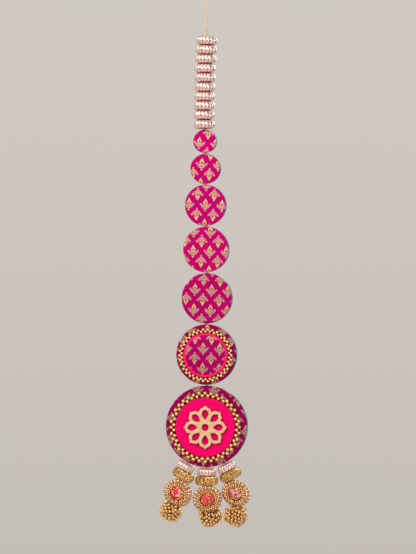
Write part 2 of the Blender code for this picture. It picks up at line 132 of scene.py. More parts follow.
class Graph:
    """A shader node tree, with short ways to add and join its nodes."""

    def __init__(self, tree: bpy.types.NodeTree) -> None:
        """Hold the tree.

        Args:
            tree: the node tree of a material, a world or a group.
        """
        self.tree = tree

    def add(self, kind: str, **settings: object) -> bpy.types.Node:
        """Add a node.

        Args:
            kind: the node's Blender type.
            **settings: properties set on the node.

        Returns:
            The new node.
        """
        node = self.tree.nodes.new(kind)
        for key, value in settings.items():
            setattr(node, key, value)
        return node

    def join(self, socket: Socket, value: object) -> None:
        """Link an output to an input, or set the input's own value.

        Args:
            socket: the input.
            value: an output socket, a number, a vector or a colour.
        """
        if isinstance(value, bpy.types.NodeSocket):
            self.tree.links.new(value, socket)
        else:
            socket.default_value = value

    def feed(self, node: bpy.types.Node, **values: object) -> None:
        """Join or set a node's inputs by name.

        Args:
            node: the node.
            **values: its inputs' values, with _ for a space.
        """
        for label, value in values.items():
            self.join(node.inputs[label.replace("_", " ")], value)

    def math(self, operation: str, *values: Value) -> Socket:
        """Put values through a Math node.

        Args:
            operation: the node's operation.
            *values: up to three sockets or numbers.

        Returns:
            The result.
        """
        node = self.add("ShaderNodeMath", operation=operation)
        for socket, value in zip(node.inputs, values):
            self.join(socket, value)
        return node.outputs[0]

    def scaled(self, vector: Socket, factor: Value) -> Socket:
        """Return a vector times a number."""
        node = self.add("ShaderNodeVectorMath", operation="SCALE")
        self.feed(node, Vector=vector, Scale=factor)
        return node.outputs[0]

    def split(self, vector: Socket) -> tuple[Socket, Socket, Socket]:
        """Return a vector's three parts."""
        node = self.add("ShaderNodeSeparateXYZ")
        self.join(node.inputs[0], vector)
        return tuple(node.outputs)

    def merge(self, x: Value, y: Value, z: Value = 0.0) -> Socket:
        """Return a vector made of three parts."""
        node = self.add("ShaderNodeCombineXYZ")
        for socket, value in zip(node.inputs, (x, y, z)):
            self.join(socket, value)
        return node.outputs[0]

    def attribute(self, name: str) -> bpy.types.Node:
        """Return an Attribute node that reads the mesh's own attribute."""
        return self.add("ShaderNodeAttribute", attribute_type="GEOMETRY", attribute_name=name)

    def place(self) -> Socket:
        """Return the Object coordinates."""
        return self.add("ShaderNodeTexCoord").outputs["Object"]

    def noise(self, vector: Socket, scale: Value, detail: float = 2.0) -> Socket:
        """Read a noise.

        Args:
            vector: the place that it is read at.
            scale: its cells to the metre.
            detail: how many finer layers it has.

        Returns:
            A value from 0 to 1.
        """
        node = self.add("ShaderNodeTexNoise")
        self.feed(node, Vector=vector, Scale=scale, Detail=detail)
        return node.outputs["Fac"]

    def toned(self, colour: Socket, value: Value) -> Socket:
        """Return a colour made lighter or darker by a factor."""
        node = self.add("ShaderNodeHueSaturation")
        self.feed(node, Color=colour, Value=value)
        return node.outputs[0]

    def ranged(
        self, value: Socket, low: float, high: float, start: float = 0.0, end: float = 1.0,
    ) -> Socket:
        """Map a stretch of a value onto another, clamped and smooth.

        Args:
            value: the value.
            low: where its stretch starts.
            high: where its stretch ends.
            start: the result at low.
            end: the result at high.

        Returns:
            The mapped value.
        """
        node = self.add("ShaderNodeMapRange", interpolation_type="SMOOTHSTEP")
        for socket, entry in zip(node.inputs, (value, low, high, start, end)):
            self.join(socket, entry)
        return node.outputs[0]

    def blend(self, factor: Value, first: object, second: object, kind: str = "MIX") -> Socket:
        """Return a mix of two colours.

        Args:
            factor: 0 gives the first colour and 1 the second.
            first: a colour or a colour socket.
            second: a colour or a colour socket.
            kind: the blend type.

        Returns:
            The mixed colour.
        """
        node = self.add("ShaderNodeMix", data_type="RGBA", blend_type=kind)
        self.join(node.inputs["Factor"], factor)
        for socket, colour in zip((node.inputs[6], node.inputs[7]), (first, second)):
            self.join(socket, colour if isinstance(colour, bpy.types.NodeSocket) else (*colour, 1.0))
        return node.outputs[2]

    def steps(self, factor: Socket, stops: Sequence[tuple[float, Colour]]) -> Socket:
        """Read a colour from a ramp with hard steps.

        Args:
            factor: the place on the ramp, from 0 to 1.
            stops: where each colour starts, and the colour.

        Returns:
            The colour.
        """
        node = self.add("ShaderNodeValToRGB")
        node.color_ramp.interpolation = "CONSTANT"
        elements = node.color_ramp.elements
        while len(elements) < len(stops):
            elements.new(1.0)
        for element, (position, colour) in zip(elements, stops):
            element.position = position
            element.color = (*colour, 1.0)
        self.join(node.inputs[0], factor)
        return node.outputs["Color"]

    def bump(self, height: Socket, distance: float, normal: Socket | None = None) -> Socket:
        """Raise the surface's normal by a height.

        Args:
            height: the height, from 0 to 1.
            distance: how far 1 is raised, in metres.
            normal: the normal that it starts from, if not the mesh's own.

        Returns:
            The normal.
        """
        node = self.add("ShaderNodeBump")
        self.feed(node, Height=height, Distance=distance)
        if normal is not None:
            self.join(node.inputs["Normal"], normal)
        return node.outputs[0]

    def group(self, tree: bpy.types.NodeTree, **values: object) -> bpy.types.Node:
        """Place a node group.

        Args:
            tree: the group.
            **values: its inputs by name, with _ for a space.

        Returns:
            The group's node.
        """
        node = self.add("ShaderNodeGroup", node_tree=tree)
        self.feed(node, **values)
        return node


@dataclass
class GroupDraft:
    """A node group while it is being made."""

    name: str
    inputs: dict[str, str]
    outputs: dict[str, str]
    graph: Graph = field(init=False)
    source: bpy.types.Node = field(init=False)
    sink: bpy.types.Node = field(init=False)

    def __post_init__(self) -> None:
        """Make the tree, its named sockets and its two end nodes."""
        tree = bpy.data.node_groups.new(self.name, "ShaderNodeTree")
        for label, kind in self.inputs.items():
            tree.interface.new_socket(label, in_out="INPUT", socket_type=f"NodeSocket{kind}")
        for label, kind in self.outputs.items():
            tree.interface.new_socket(label, in_out="OUTPUT", socket_type=f"NodeSocket{kind}")
        self.graph = Graph(tree)
        self.source = self.graph.add("NodeGroupInput")
        self.sink = self.graph.add("NodeGroupOutput")

    def give(self, **results: Socket) -> bpy.types.NodeTree:
        """Join the results to the group's outputs, with _ for a space, and return the group."""
        self.graph.feed(self.sink, **results)
        return self.graph.tree


# Shared effects


@cache
def woven_threads() -> bpy.types.NodeTree:
    """A weave: warp threads that pass over a number of weft threads, then under one.

    Returns:
        A group with the threads' height and the mask of the weft that shows.
    """
    draft = GroupDraft(
        "Woven threads",
        {"Cloth": "Vector", "Threads a metre": "Float", "Float length": "Float"},
        {"Height": "Float", "Weft": "Float"},
    )
    graph, given = draft.graph, draft.source.outputs
    across, along, _ = graph.split(given["Cloth"])
    warp = graph.math("MULTIPLY", across, given["Threads a metre"])
    weft = graph.math("MULTIPLY", along, given["Threads a metre"])
    warp_number = graph.math("MULTIPLY", graph.math("FLOOR", warp), 2.0)
    stagger = graph.math("ADD", warp_number, graph.math("FLOOR", weft))
    repeat = graph.math("ADD", given["Float length"], 1.0)
    turn = graph.math("FLOORED_MODULO", stagger, repeat)
    weft_shows = graph.math("LESS_THAN", turn, 1.0)
    warp_round = graph.math("SINE", graph.math("MULTIPLY", graph.math("FRACT", warp), math.pi))
    weft_round = graph.math("SINE", graph.math("MULTIPLY", graph.math("FRACT", weft), math.pi))
    over = graph.math("MULTIPLY", weft_round, weft_shows)
    under = graph.math("MULTIPLY", warp_round, graph.math("SUBTRACT", 1.0, weft_shows))
    return draft.give(Height=graph.math("ADD", over, under), Weft=weft_shows)


@cache
def uneven_tone() -> bpy.types.NodeTree:
    """Slow, slight changes of tone over a surface.

    Returns:
        A group that gives the colour it is fed, lighter here and darker there.
    """
    draft = GroupDraft(
        "Uneven tone",
        {"Place": "Vector", "Colour": "Color", "Patches a metre": "Float", "Amount": "Float"},
        {"Colour": "Color", "Patch": "Float"},
    )
    graph, given = draft.graph, draft.source.outputs
    cloud = graph.noise(given["Place"], given["Patches a metre"], 4.0)
    patch = graph.ranged(cloud, 0.3, 0.7)
    offset = graph.math("MULTIPLY", graph.math("SUBTRACT", patch, 0.5), given["Amount"])
    tint = graph.toned(given["Colour"], graph.math("ADD", offset, 1.0))
    return draft.give(Colour=tint, Patch=patch)


@cache
def handled_plate() -> bpy.types.NodeTree:
    """The fine marks of plating that has been handled.

    Returns:
        A group that gives a roughness, and the height of very shallow dents.
    """
    draft = GroupDraft(
        "Handled plate",
        {"Place": "Vector", "Polished": "Float", "Dulled": "Float"},
        {"Roughness": "Float", "Height": "Float"},
    )
    graph, given = draft.graph, draft.source.outputs
    smear = graph.ranged(graph.noise(given["Place"], 420.0, 4.0), 0.35, 0.7)
    spread = graph.math("SUBTRACT", given["Dulled"], given["Polished"])
    rough = graph.math("MULTIPLY_ADD", smear, spread, given["Polished"])
    return draft.give(Roughness=rough, Height=graph.noise(given["Place"], 900.0, 2.0))


@cache
def glitter_flakes() -> bpy.types.NodeTree:
    """Flakes that lie at random angles in a clear coat.

    Returns:
        A group with each flake's own chance from 0 to 1, and its height.
    """
    draft = GroupDraft(
        "Glitter flakes",
        {"Place": "Vector", "Flakes a metre": "Float"},
        {"Chance": "Float", "Height": "Float"},
    )
    graph, given = draft.graph, draft.source.outputs
    flakes = graph.add("ShaderNodeTexVoronoi")
    graph.feed(flakes, Vector=given["Place"], Scale=given["Flakes a metre"])
    chance = graph.split(flakes.outputs["Color"])[0]
    offset = graph.add("ShaderNodeVectorMath", operation="SUBTRACT")
    graph.join(offset.inputs[0], graph.scaled(given["Place"], given["Flakes a metre"]))
    graph.join(offset.inputs[1], graph.scaled(flakes.outputs["Position"], given["Flakes a metre"]))
    lean = graph.add("ShaderNodeVectorMath", operation="DOT_PRODUCT")
    graph.join(lean.inputs[0], offset.outputs[0])
    graph.join(lean.inputs[1], flakes.outputs["Color"])
    return draft.give(Chance=chance, Height=lean.outputs["Value"])


@dataclass(frozen=True)
class Kite:
    """A four-cornered form, by its middle's height, half width, rise, drop, bend and offset."""

    middle: float
    half_width: float
    rise: float
    drop: float
    bend: float = 1.0
    aside: float = 0.0

    def mask(self, graph: Graph, aside: Socket, height: Socket) -> Socket:
        """Return 1 inside the kite.

        Args:
            graph: the tree it goes in.
            aside: the distance from the motif's middle line.
            height: the height above the motif's middle.

        Returns:
            The mask.
        """
        lifted = graph.math("SUBTRACT", height, self.middle)
        above = graph.math("DIVIDE", lifted, self.rise)
        below = graph.math("DIVIDE", lifted, -self.drop)
        off = graph.math("ABSOLUTE", graph.math("SUBTRACT", aside, self.aside))
        sideways = graph.math("POWER", graph.math("DIVIDE", off, self.half_width), self.bend)
        reach = graph.math("ADD", sideways, graph.math("MAXIMUM", above, below))
        return graph.math("LESS_THAN", reach, 1.0)


@dataclass(frozen=True)
class Sweep:
    """A curved band, by its height at the middle line, slope, bend, half thickness and ends."""

    start: float
    slope: float
    bend: float
    half_thickness: float
    inner: float
    outer: float
    tip_share: float = 0.55

    def mask(self, graph: Graph, aside: Socket, height: Socket) -> Socket:
        """Return 1 on the band, which thins towards its outer end.

        Args:
            graph: the tree it goes in.
            aside: the distance from the motif's middle line.
            height: the height above the motif's middle.

        Returns:
            The mask.
        """
        rate = graph.math("MULTIPLY_ADD", aside, self.bend, self.slope)
        swept = graph.math("MULTIPLY_ADD", rate, aside, self.start)
        off = graph.math("ABSOLUTE", graph.math("SUBTRACT", height, swept))
        tip = self.tip_share * self.half_thickness
        taper = graph.ranged(aside, self.inner, self.outer, self.half_thickness, tip)
        inside = graph.math("LESS_THAN", off, taper)
        past_start = graph.math("GREATER_THAN", aside, self.inner)
        before_end = graph.math("LESS_THAN", aside, self.outer)
        return graph.math("MULTIPLY", inside, graph.math("MULTIPLY", past_start, before_end))


@dataclass(frozen=True)
class Buti:
    """The woven motif, in millimetres from its middle, and the half-drop repeat it stands in."""

    column_pitch: float = 15.7
    row_pitch: float = 19.1
    warp_step: float = 0.30
    weft_step: float = 0.34
    bound_every: float = 5.0
    bound_threads: float = 2.2
    bound_share: float = 0.8
    tip_height: float = 3.5
    forms: tuple[Kite | Sweep, ...] = (
        Kite(1.5, 2.5, 4.6, 2.9, 0.9),
        Kite(-5.4, 1.35, 0.8, 0.8),
        Kite(-4.6, 0.5, 0.9, 0.9),
        Sweep(-3.35, 0.16, 0.108, 0.95, -0.1, 5.3),
        Sweep(-1.3, 0.02, 0.098, 0.95, -0.1, 4.7),
    )
    holes: tuple[Kite | Sweep, ...] = (
        Kite(1.45, 0.9, 1.0, 1.0),
        Kite(-1.25, 0.6, 0.6, 0.6),
        Kite(-2.5, 0.45, 0.5, 0.5, aside=1.55),
        Kite(-1.35, 0.45, 0.5, 0.5, aside=3.0),
    )

    def motif(self) -> bpy.types.NodeTree:
        """Return a group that masks one upright motif from a place in millimetres."""
        draft = GroupDraft("Buti motif", {"Place": "Vector"}, {"Mask": "Float"})
        graph = draft.graph
        x, height, _ = graph.split(draft.source.outputs["Place"])
        aside = graph.math("ABSOLUTE", x)
        mask = self.forms[0].mask(graph, aside, height)
        for form in self.forms[1:]:
            mask = graph.math("MAXIMUM", mask, form.mask(graph, aside, height))
        for hole in self.holes:
            kept = graph.math("SUBTRACT", 1.0, hole.mask(graph, aside, height))
            mask = graph.math("MULTIPLY", mask, kept)
        return draft.give(Mask=mask)

    @cache
    def repeat(self) -> bpy.types.NodeTree:
        """Return a group that sets the motif in rows, every other one turned and half a column on."""
        draft = GroupDraft("Buti repeat", {"Cloth": "Vector"}, {"Mask": "Float", "Tip": "Float"})
        graph = draft.graph
        motif = self.motif()
        x, y, _ = graph.split(graph.scaled(draft.source.outputs["Cloth"], 1.0 / MM))
        warp = graph.math("FLOOR", graph.math("DIVIDE", x, self.warp_step))
        weft = graph.math("FLOOR", graph.math("DIVIDE", y, self.weft_step))
        warp_group, weft_group = (
            graph.math("FLOOR", graph.math("DIVIDE", number, self.bound_threads))
            for number in (warp, weft)
        )
        stagger = graph.math("MULTIPLY_ADD", weft_group, 2.0, warp_group)
        bound = graph.math("LESS_THAN", graph.math("FLOORED_MODULO", stagger, self.bound_every), 1.0)
        x = graph.math("MULTIPLY_ADD", warp, self.warp_step, self.warp_step / 2)
        y = graph.math("MULTIPLY_ADD", weft, self.weft_step, self.weft_step / 2)
        masks, heights = [], []
        for shift, sense in ((0.0, 1.0), (0.5, -1.0)):
            column = graph.math("ADD", x, shift * self.column_pitch)
            row = graph.math("ADD", y, shift * self.row_pitch)
            aside = graph.math("WRAP", column, self.column_pitch / 2, -self.column_pitch / 2)
            level = graph.math("WRAP", row, self.row_pitch / 2, -self.row_pitch / 2)
            level = graph.math("MULTIPLY", level, sense)
            mask = graph.group(motif, Place=graph.merge(aside, level)).outputs["Mask"]
            masks.append(mask)
            heights.append(graph.math("MULTIPLY", graph.ranged(level, 0.0, self.tip_height), mask))
        tip = graph.math("MAXIMUM", *heights)
        bound = graph.math("MULTIPLY", bound, graph.math("SUBTRACT", 1.0, tip))
        hidden = graph.math("MULTIPLY_ADD", bound, -self.bound_share, 1.0)
        return draft.give(Mask=graph.math("MULTIPLY", graph.math("MAXIMUM", *masks), hidden), Tip=tip)


BUTI = Buti()


# Finishes


@dataclass(frozen=True)
class Finish:
    """What a surface is made of: a name, the record's slot and a colour."""

    name: str
    slot: str
    colour: Colour

    def paint(self, graph: Graph, shader: bpy.types.Node) -> None:
        """Feed the shader. Each finish does this its own way.

        Args:
            graph: the material's tree.
            shader: its Principled BSDF.
        """
        raise NotImplementedError

    def dye_reflection(self, shader: bpy.types.Node, level: float, tint: Colour) -> None:
        """Make the surface reflect little, and in the colour of its own dye.

        Args:
            shader: the Principled BSDF.
            level: how much it reflects.
            tint: the colour of its reflection and sheen.
        """
        shader.inputs["Specular IOR Level"].default_value = level
        shader.inputs["Specular Tint"].default_value = (*tint, 1.0)
        shader.inputs["Sheen Tint"].default_value = (*tint, 1.0)

    @cache
    def material(self) -> bpy.types.Material:
        """Return the material, made once."""
        material = bpy.data.materials.new(self.name)
        material.use_nodes = True
        shader = material.node_tree.nodes["Principled BSDF"]
        self.paint(Graph(material.node_tree), shader)
        return material


@dataclass(frozen=True)
class Brocade(Finish):
    """Satin with motifs in metallic thread."""

    shot_colour: Colour = (0.52, 0.0005, 0.20)
    motif_colour: Colour = (0.62, 0.43, 0.27)
    tip_colour: Colour = (0.68, 0.52, 0.20)
    threads: float = 3400.0

    def paint(self, graph: Graph, shader: bpy.types.Node) -> None:
        """Weave the ground, float the motifs' gold weft over it, and paint shade between the threads
        and on the lower discs.
        """
        cloth = graph.attribute("cloth").outputs["Vector"]
        buti = graph.group(BUTI.repeat(), Cloth=cloth)
        weave = graph.group(
            woven_threads(), Cloth=cloth, Threads_a_metre=self.threads, Float_length=4.0,
        )
        shot = graph.ranged(graph.noise(cloth, 900.0, 3.0), 0.4, 0.65)
        shot = graph.blend(shot, self.colour, self.shot_colour)
        ground = graph.group(
            uneven_tone(), Place=cloth, Colour=shot, Patches_a_metre=160.0, Amount=0.22,
        )
        # Painted shade between the threads: the satin is darker where the weave is low.
        thread_shade = graph.ranged(weave.outputs["Height"], 0.0, 1.0, 0.72, 1.08)
        # Painted shade: the shade layer darkens the satin on the lower discs, and the gold thread a
        # little less.
        shade = graph.attribute("shade").outputs["Fac"]
        satin = graph.toned(ground.outputs["Colour"], graph.math("MULTIPLY", thread_shade, shade))
        thread = graph.group(
            uneven_tone(), Place=cloth, Patches_a_metre=900.0, Amount=0.5,
            Colour=graph.blend(buti.outputs["Tip"], self.motif_colour, self.tip_colour),
        )
        gold = graph.toned(thread.outputs["Colour"], graph.math("MULTIPLY_ADD", shade, 0.65, 0.38))
        float_round = graph.ranged(weave.outputs["Height"], 0.0, 0.5, 0.78, 1.0)
        cover = graph.math("MULTIPLY", buti.outputs["Mask"], float_round)
        raised = graph.math("MULTIPLY_ADD", buti.outputs["Mask"], 1.2, weave.outputs["Height"])
        graph.feed(
            shader,
            Base_Color=graph.blend(cover, satin, gold),
            Metallic=graph.math("MULTIPLY", cover, 0.45),
            Roughness=graph.ranged(cover, 0.0, 1.0, 0.50, 0.36),
            Normal=graph.bump(raised, 0.05 * MM),
            Sheen_Weight=0.2,
            Sheen_Roughness=0.35,
        )
        self.dye_reflection(shader, 0.3, (1.0, 0.03, 0.45))


@dataclass(frozen=True)
class PlainCloth(Finish):
    """A plain weave in one colour."""

    threads: float = 2200.0
    roughness: float = 0.7
    sheen: float = 0.2
    unevenness: float = 0.2
    shine: float = 0.3
    shine_tint: Colour | None = None

    def paint(self, graph: Graph, shader: bpy.types.Node) -> None:
        """Weave over and under, with slight changes of tone."""
        cloth = graph.attribute("cloth").outputs["Vector"]
        weave = graph.group(
            woven_threads(), Cloth=cloth, Threads_a_metre=self.threads, Float_length=1.0,
        )
        tone = graph.group(
            uneven_tone(), Place=cloth, Colour=(*self.colour, 1.0), Patches_a_metre=220.0,
            Amount=self.unevenness,
        )
        height, patch = weave.outputs["Height"], tone.outputs["Patch"]
        graph.feed(
            shader,
            # Painted shade between the threads: darker where the weave is low.
            Base_Color=graph.toned(tone.outputs["Colour"], graph.ranged(height, 0.0, 0.8, 0.78, 1.04)),
            Roughness=graph.ranged(patch, 0.0, 1.0, self.roughness, self.roughness - 0.08),
            Normal=graph.bump(height, 0.06 * MM),
            Sheen_Weight=self.sheen,
            Sheen_Roughness=0.5,
        )
        self.dye_reflection(shader, self.shine, self.shine_tint or self.colour)


@dataclass(frozen=True)
class Yarn(Finish):
    """Spun thread, with painted shade between its plies."""

    # The painted shade between the plies; a mesh without the ply layer takes this colour all over.
    shade_colour: Colour = (0.30, 0.18, 0.08)

    def paint(self, graph: Graph, shader: bpy.types.Node) -> None:
        """Paint shade between the plies and raise the fibres."""
        ply = graph.attribute("ply").outputs["Fac"]
        place = graph.place()
        # Painted shade: the colour darkens where the tube is narrow, between the plies.
        base = graph.blend(graph.ranged(ply, 0.25, 0.9), self.shade_colour, self.colour)
        tone = graph.group(uneven_tone(), Place=place, Colour=base, Patches_a_metre=500.0, Amount=0.3)
        graph.feed(
            shader,
            Base_Color=tone.outputs["Colour"],
            Roughness=graph.ranged(ply, 0.0, 1.0, 0.8, 0.55),
            Normal=graph.bump(graph.noise(place, 6000.0, 3.0), 0.06 * MM),
            Sheen_Weight=0.3,
        )


@dataclass(frozen=True)
class GoldPlate(Finish):
    """Bright gold plating on small beads."""

    polished: float = 0.16
    dulled: float = 0.3
    metal: float = 0.45
    coat: float = 0.9
    coat_index: float = 2.4
    coat_blur: float = 0.2

    def paint(self, graph: Graph, shader: bpy.types.Node) -> None:
        """Give the metal its handling marks and its slight changes of tone."""
        place = graph.place()
        plate = graph.group(handled_plate(), Place=place, Polished=self.polished, Dulled=self.dulled)
        tone = graph.group(
            uneven_tone(), Place=place, Colour=(*self.colour, 1.0), Patches_a_metre=300.0, Amount=0.35,
        )
        graph.feed(
            shader,
            Base_Color=tone.outputs["Colour"],
            Metallic=self.metal,
            Roughness=plate.outputs["Roughness"],
            Normal=graph.bump(plate.outputs["Height"], 0.05 * MM),
            Coat_Weight=self.coat,
            Coat_IOR=self.coat_index,
            Coat_Roughness=self.coat_blur,
        )


@dataclass(frozen=True)
class TwoTonePlate(Finish):
    """Silver-white plating whose grooves show rose copper."""

    groove_colour: Colour = (0.74, 0.30, 0.19)
    groove_shade_colour: Colour = (0.40, 0.12, 0.055)

    def paint(self, graph: Graph, shader: bpy.types.Node) -> None:
        """Change from silver to copper with the depth of the groove, and to dark copper as painted
        shade at its deepest.
        """
        place = graph.place()
        groove = graph.attribute("groove").outputs["Fac"]
        worn = graph.math("MULTIPLY_ADD", graph.noise(place, 700.0, 3.0), 0.3, groove)
        metal = graph.blend(graph.ranged(worn, 0.5, 0.85), self.colour, self.groove_colour)
        # Painted shade: the deepest part of each groove turns dark copper.
        metal = graph.blend(graph.ranged(groove, 0.85, 1.0), metal, self.groove_shade_colour)
        plate = graph.group(handled_plate(), Place=place, Polished=0.18, Dulled=0.30)
        graph.feed(
            shader,
            Base_Color=metal,
            Metallic=graph.ranged(groove, 0.5, 0.9, 0.62, 0.4),
            Roughness=plate.outputs["Roughness"],
            Normal=graph.bump(plate.outputs["Height"], 0.06 * MM),
        )


@dataclass(frozen=True)
class GlitterCoat(Finish):
    """Gold glitter set in lacquer."""

    bright_colour: Colour = (1.0, 0.79, 0.46)
    dark_colour: Colour = (0.26, 0.10, 0.01)

    def paint(self, graph: Graph, shader: bpy.types.Node) -> None:
        """Scatter bright and dark flakes at their own angles."""
        place = graph.place()
        fine = graph.group(glitter_flakes(), Place=place, Flakes_a_metre=1900.0)
        coarse = graph.group(glitter_flakes(), Place=place, Flakes_a_metre=800.0)
        small, large = fine.outputs["Chance"], coarse.outputs["Chance"]
        body = graph.blend(graph.ranged(large, 0.25, 0.5), self.dark_colour, self.colour)
        first = graph.bump(coarse.outputs["Height"], 0.5 * MM)
        graph.feed(
            shader,
            Base_Color=graph.blend(graph.ranged(small, 0.55, 0.85), body, self.bright_colour),
            Metallic=graph.ranged(small, 0.2, 0.6, 0.55, 1.0),
            Roughness=graph.ranged(large, 0.0, 1.0, 0.45, 0.2),
            Normal=graph.bump(fine.outputs["Height"], 0.2 * MM, first),
        )


@dataclass(frozen=True)
class LinedGlass(Finish):
    """Small glass beads with a silver lining: clear ones and copper ones."""

    copper_colour: Colour = (0.66, 0.22, 0.03)

    def paint(self, graph: Graph, shader: bpy.types.Node) -> None:
        """Tint each bead by its own attribute."""
        place = graph.place()
        tint = graph.attribute("tint").outputs["Fac"]
        streak = graph.ranged(graph.noise(place, 1100.0, 2.0), 0.35, 0.7, 0.72, 1.1)
        plate = graph.group(handled_plate(), Place=place, Polished=0.12, Dulled=0.26)
        graph.feed(
            shader,
            Base_Color=graph.toned(graph.blend(tint, self.colour, self.copper_colour), streak),
            Metallic=0.5,
            Roughness=plate.outputs["Roughness"],
            Normal=graph.bump(plate.outputs["Height"], 0.08 * MM),
            Coat_Weight=0.6,
            Coat_Roughness=0.06,
        )


@dataclass(frozen=True)
class FoilGem(Finish):
    """A hot pink cabochon over crushed foil, with shares of orange and silver shards."""

    orange_share: float = 0.2
    silver_share: float = 0.2
    orange: Colour = (0.90, 0.22, 0.01)
    silver: Colour = (0.80, 0.74, 0.66)
    deep_pink: Colour = (0.42, 0.001, 0.05)
    gold: Colour = (0.72, 0.45, 0.12)
    green: Colour = (0.10, 0.28, 0.08)

    def paint(self, graph: Graph, shader: bpy.types.Node) -> None:
        """Lay the shards at random, each with its own angle and colour."""
        place = graph.place()
        shards = graph.group(glitter_flakes(), Place=place, Flakes_a_metre=600.0)
        grain = graph.group(glitter_flakes(), Place=place, Flakes_a_metre=1500.0)
        chance = shards.outputs["Chance"]
        silver_from = 0.92 - self.silver_share
        orange_from = silver_from - self.orange_share
        stops = (
            (0.0, self.colour), (0.16, self.deep_pink), (0.28, self.colour), (orange_from, self.orange),
            (silver_from, self.silver), (0.92, self.gold), (0.97, self.green),
        )
        base = graph.steps(chance, stops)
        graph.feed(
            shader,
            Base_Color=graph.blend(graph.ranged(grain.outputs["Chance"], 0.88, 0.92), base, self.gold),
            Metallic=graph.ranged(chance, orange_from, silver_from, 0.1, 0.6),
            Roughness=0.34,
            Normal=graph.bump(shards.outputs["Height"], 0.6 * MM),
            Coat_Weight=0.1,
            Coat_Roughness=0.04,
        )
        self.dye_reflection(shader, 0.2, (1.0, 0.2, 0.4))


@dataclass(frozen=True)
class PaintedWood(Finish):
    """Thin board painted pale gold, with its grain showing through."""

    grain_colour: Colour = (0.56, 0.34, 0.15)
    grain: float = 0.5

    def paint(self, graph: Graph, shader: bpy.types.Node) -> None:
        """Stretch the grain along the board and stipple the paint."""
        place = graph.place()
        stretch = graph.add("ShaderNodeMapping")
        graph.join(stretch.inputs["Vector"], place)
        stretch.inputs["Scale"].default_value = (1.0, 1.0, 0.12)
        fibres = graph.noise(stretch.outputs[0], 1500.0, 4.0)
        stipple = graph.noise(place, 2600.0, 2.0)
        lines = graph.math("MULTIPLY", graph.ranged(fibres, 0.45, 0.75), self.grain)
        base = graph.blend(lines, self.colour, self.grain_colour)
        tone = graph.group(uneven_tone(), Place=place, Colour=base, Patches_a_metre=260.0, Amount=0.22)
        first = graph.bump(fibres, 0.06 * MM)
        graph.feed(
            shader,
            Base_Color=tone.outputs["Colour"],
            Metallic=graph.ranged(stipple, 0.4, 0.7, 0.05, 0.3),
            Roughness=graph.ranged(stipple, 0.3, 0.7, 0.42, 0.62),
            Normal=graph.bump(stipple, 0.04 * MM, first),
        )


BROCADE = Brocade("magenta brocade", "brocade", (0.57, 0.0005, 0.115))
TEAL_CLOTH = PlainCloth("teal cloth", "teal_cloth", (0.03, 0.62, 0.68))
PINK_CLOTH = PlainCloth(
    "hot pink cloth", "pink_cloth", (0.87, 0.003, 0.13), threads=3000.0, roughness=0.55,
    sheen=0.05, unevenness=0.08,
)
PINK_SATIN = PlainCloth(
    "hot pink satin", "pink_cloth", (0.93, 0.002, 0.15), threads=3000.0, roughness=0.4, sheen=0.2,
    unevenness=0.1, shine=0.7, shine_tint=(1.0, 0.25, 0.6),
)
CREAM_CORD = Yarn("cream cord", "cord", (0.85, 0.64, 0.44))
# Dark and wide, the sewing thread also stands as painted shade in the gaps between the ring beads.
SEWING_THREAD_AND_SHADE = Yarn("maroon sewing thread", "cord", (0.12, 0.004, 0.012), (0.05, 0.002, 0.005))
# Dark, the bunch thread and the bunch's core ball also stand as painted shade between the bunch beads.
BUNCH_THREAD_AND_SHADE = Yarn("brown bead thread", "cord", (0.16, 0.06, 0.012), (0.07, 0.025, 0.004))
# Between the discs this dark magenta thread also stands as painted shade in the gap.
LINK_THREAD = Yarn("magenta link thread", "brocade", (0.40, 0.002, 0.09), (0.12, 0.001, 0.03))
# The medallion's core and felt back take this dark colour all over, as painted shade between the bugle
# beads.
CORE_THREAD_AND_SHADE = Yarn("bronze core thread", "bugle_bead", (0.16, 0.055, 0.012), (0.10, 0.035, 0.008))
GOLD_BEAD = GoldPlate("gold bead", "gold_bead", (0.86, 0.46, 0.08))
# A darker copy of the gold bead for the bunches: painted shade of the crowded bunch.
SHADED_BUNCH_BEAD = GoldPlate("deep gold bead", "gold_bead", (0.76, 0.37, 0.035))
PLATED_BEAD = TwoTonePlate("silver and copper plate", "plated_bead", (0.82, 0.69, 0.66))
GLITTER = GlitterCoat("gold glitter", "glitter_gold", (0.78, 0.39, 0.055))
BUGLE_GLASS = LinedGlass("lined bugle glass", "bugle_bead", (0.86, 0.70, 0.53))
GEMS = {
    Side.LEFT: FoilGem("pink foil gem left", "pink_enamel", (0.85, 0.002, 0.13), 0.16, 0.26),
    Side.MIDDLE: FoilGem("pink foil gem middle", "pink_enamel", (0.82, 0.002, 0.09), 0.26, 0.08),
    Side.RIGHT: FoilGem("pink foil gem right", "pink_enamel", (0.82, 0.002, 0.12), 0.05, 0.40),
}
GOLD_BOARD = PaintedWood("pale gold board", "gold_paint", (0.73, 0.47, 0.24), grain=0.8)
CUT_EDGE = PaintedWood("cut board edge", "gold_paint", (0.26, 0.13, 0.05), (0.12, 0.05, 0.015))


# Places in the frame


@dataclass(frozen=True)
class Seat:
    """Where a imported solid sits: its middle and the axis that it is round about."""

    middle: Vector
    axis: Vector

    @classmethod
    def of(cls, node: str, towards: Vector) -> Seat:
        """Read a flattened round solid's seat from its points.

        Args:
            node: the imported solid's name.
            towards: a direction that the axis leans to.

        Returns:
            The solid's seat.
        """
        low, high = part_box(node)
        points = np.array([vert.co for vert in frame["nodes"][node].data.vertices], float)
        _, directions = np.linalg.eigh(np.cov((points - points.mean(axis=0)).T))
        axis = Vector(directions[:, 0])
        if axis.dot(towards) < 0.0:
            axis.negate()
        return cls((low + high) / 2, axis)

    def matrix(self) -> Matrix:
        """Return the place of a shape made at the origin with its axis on +Z."""
        turn = self.axis.to_track_quat("Z", "Y").to_matrix().to_4x4()
        return Matrix.Translation(self.middle) @ turn


# Mesh helpers


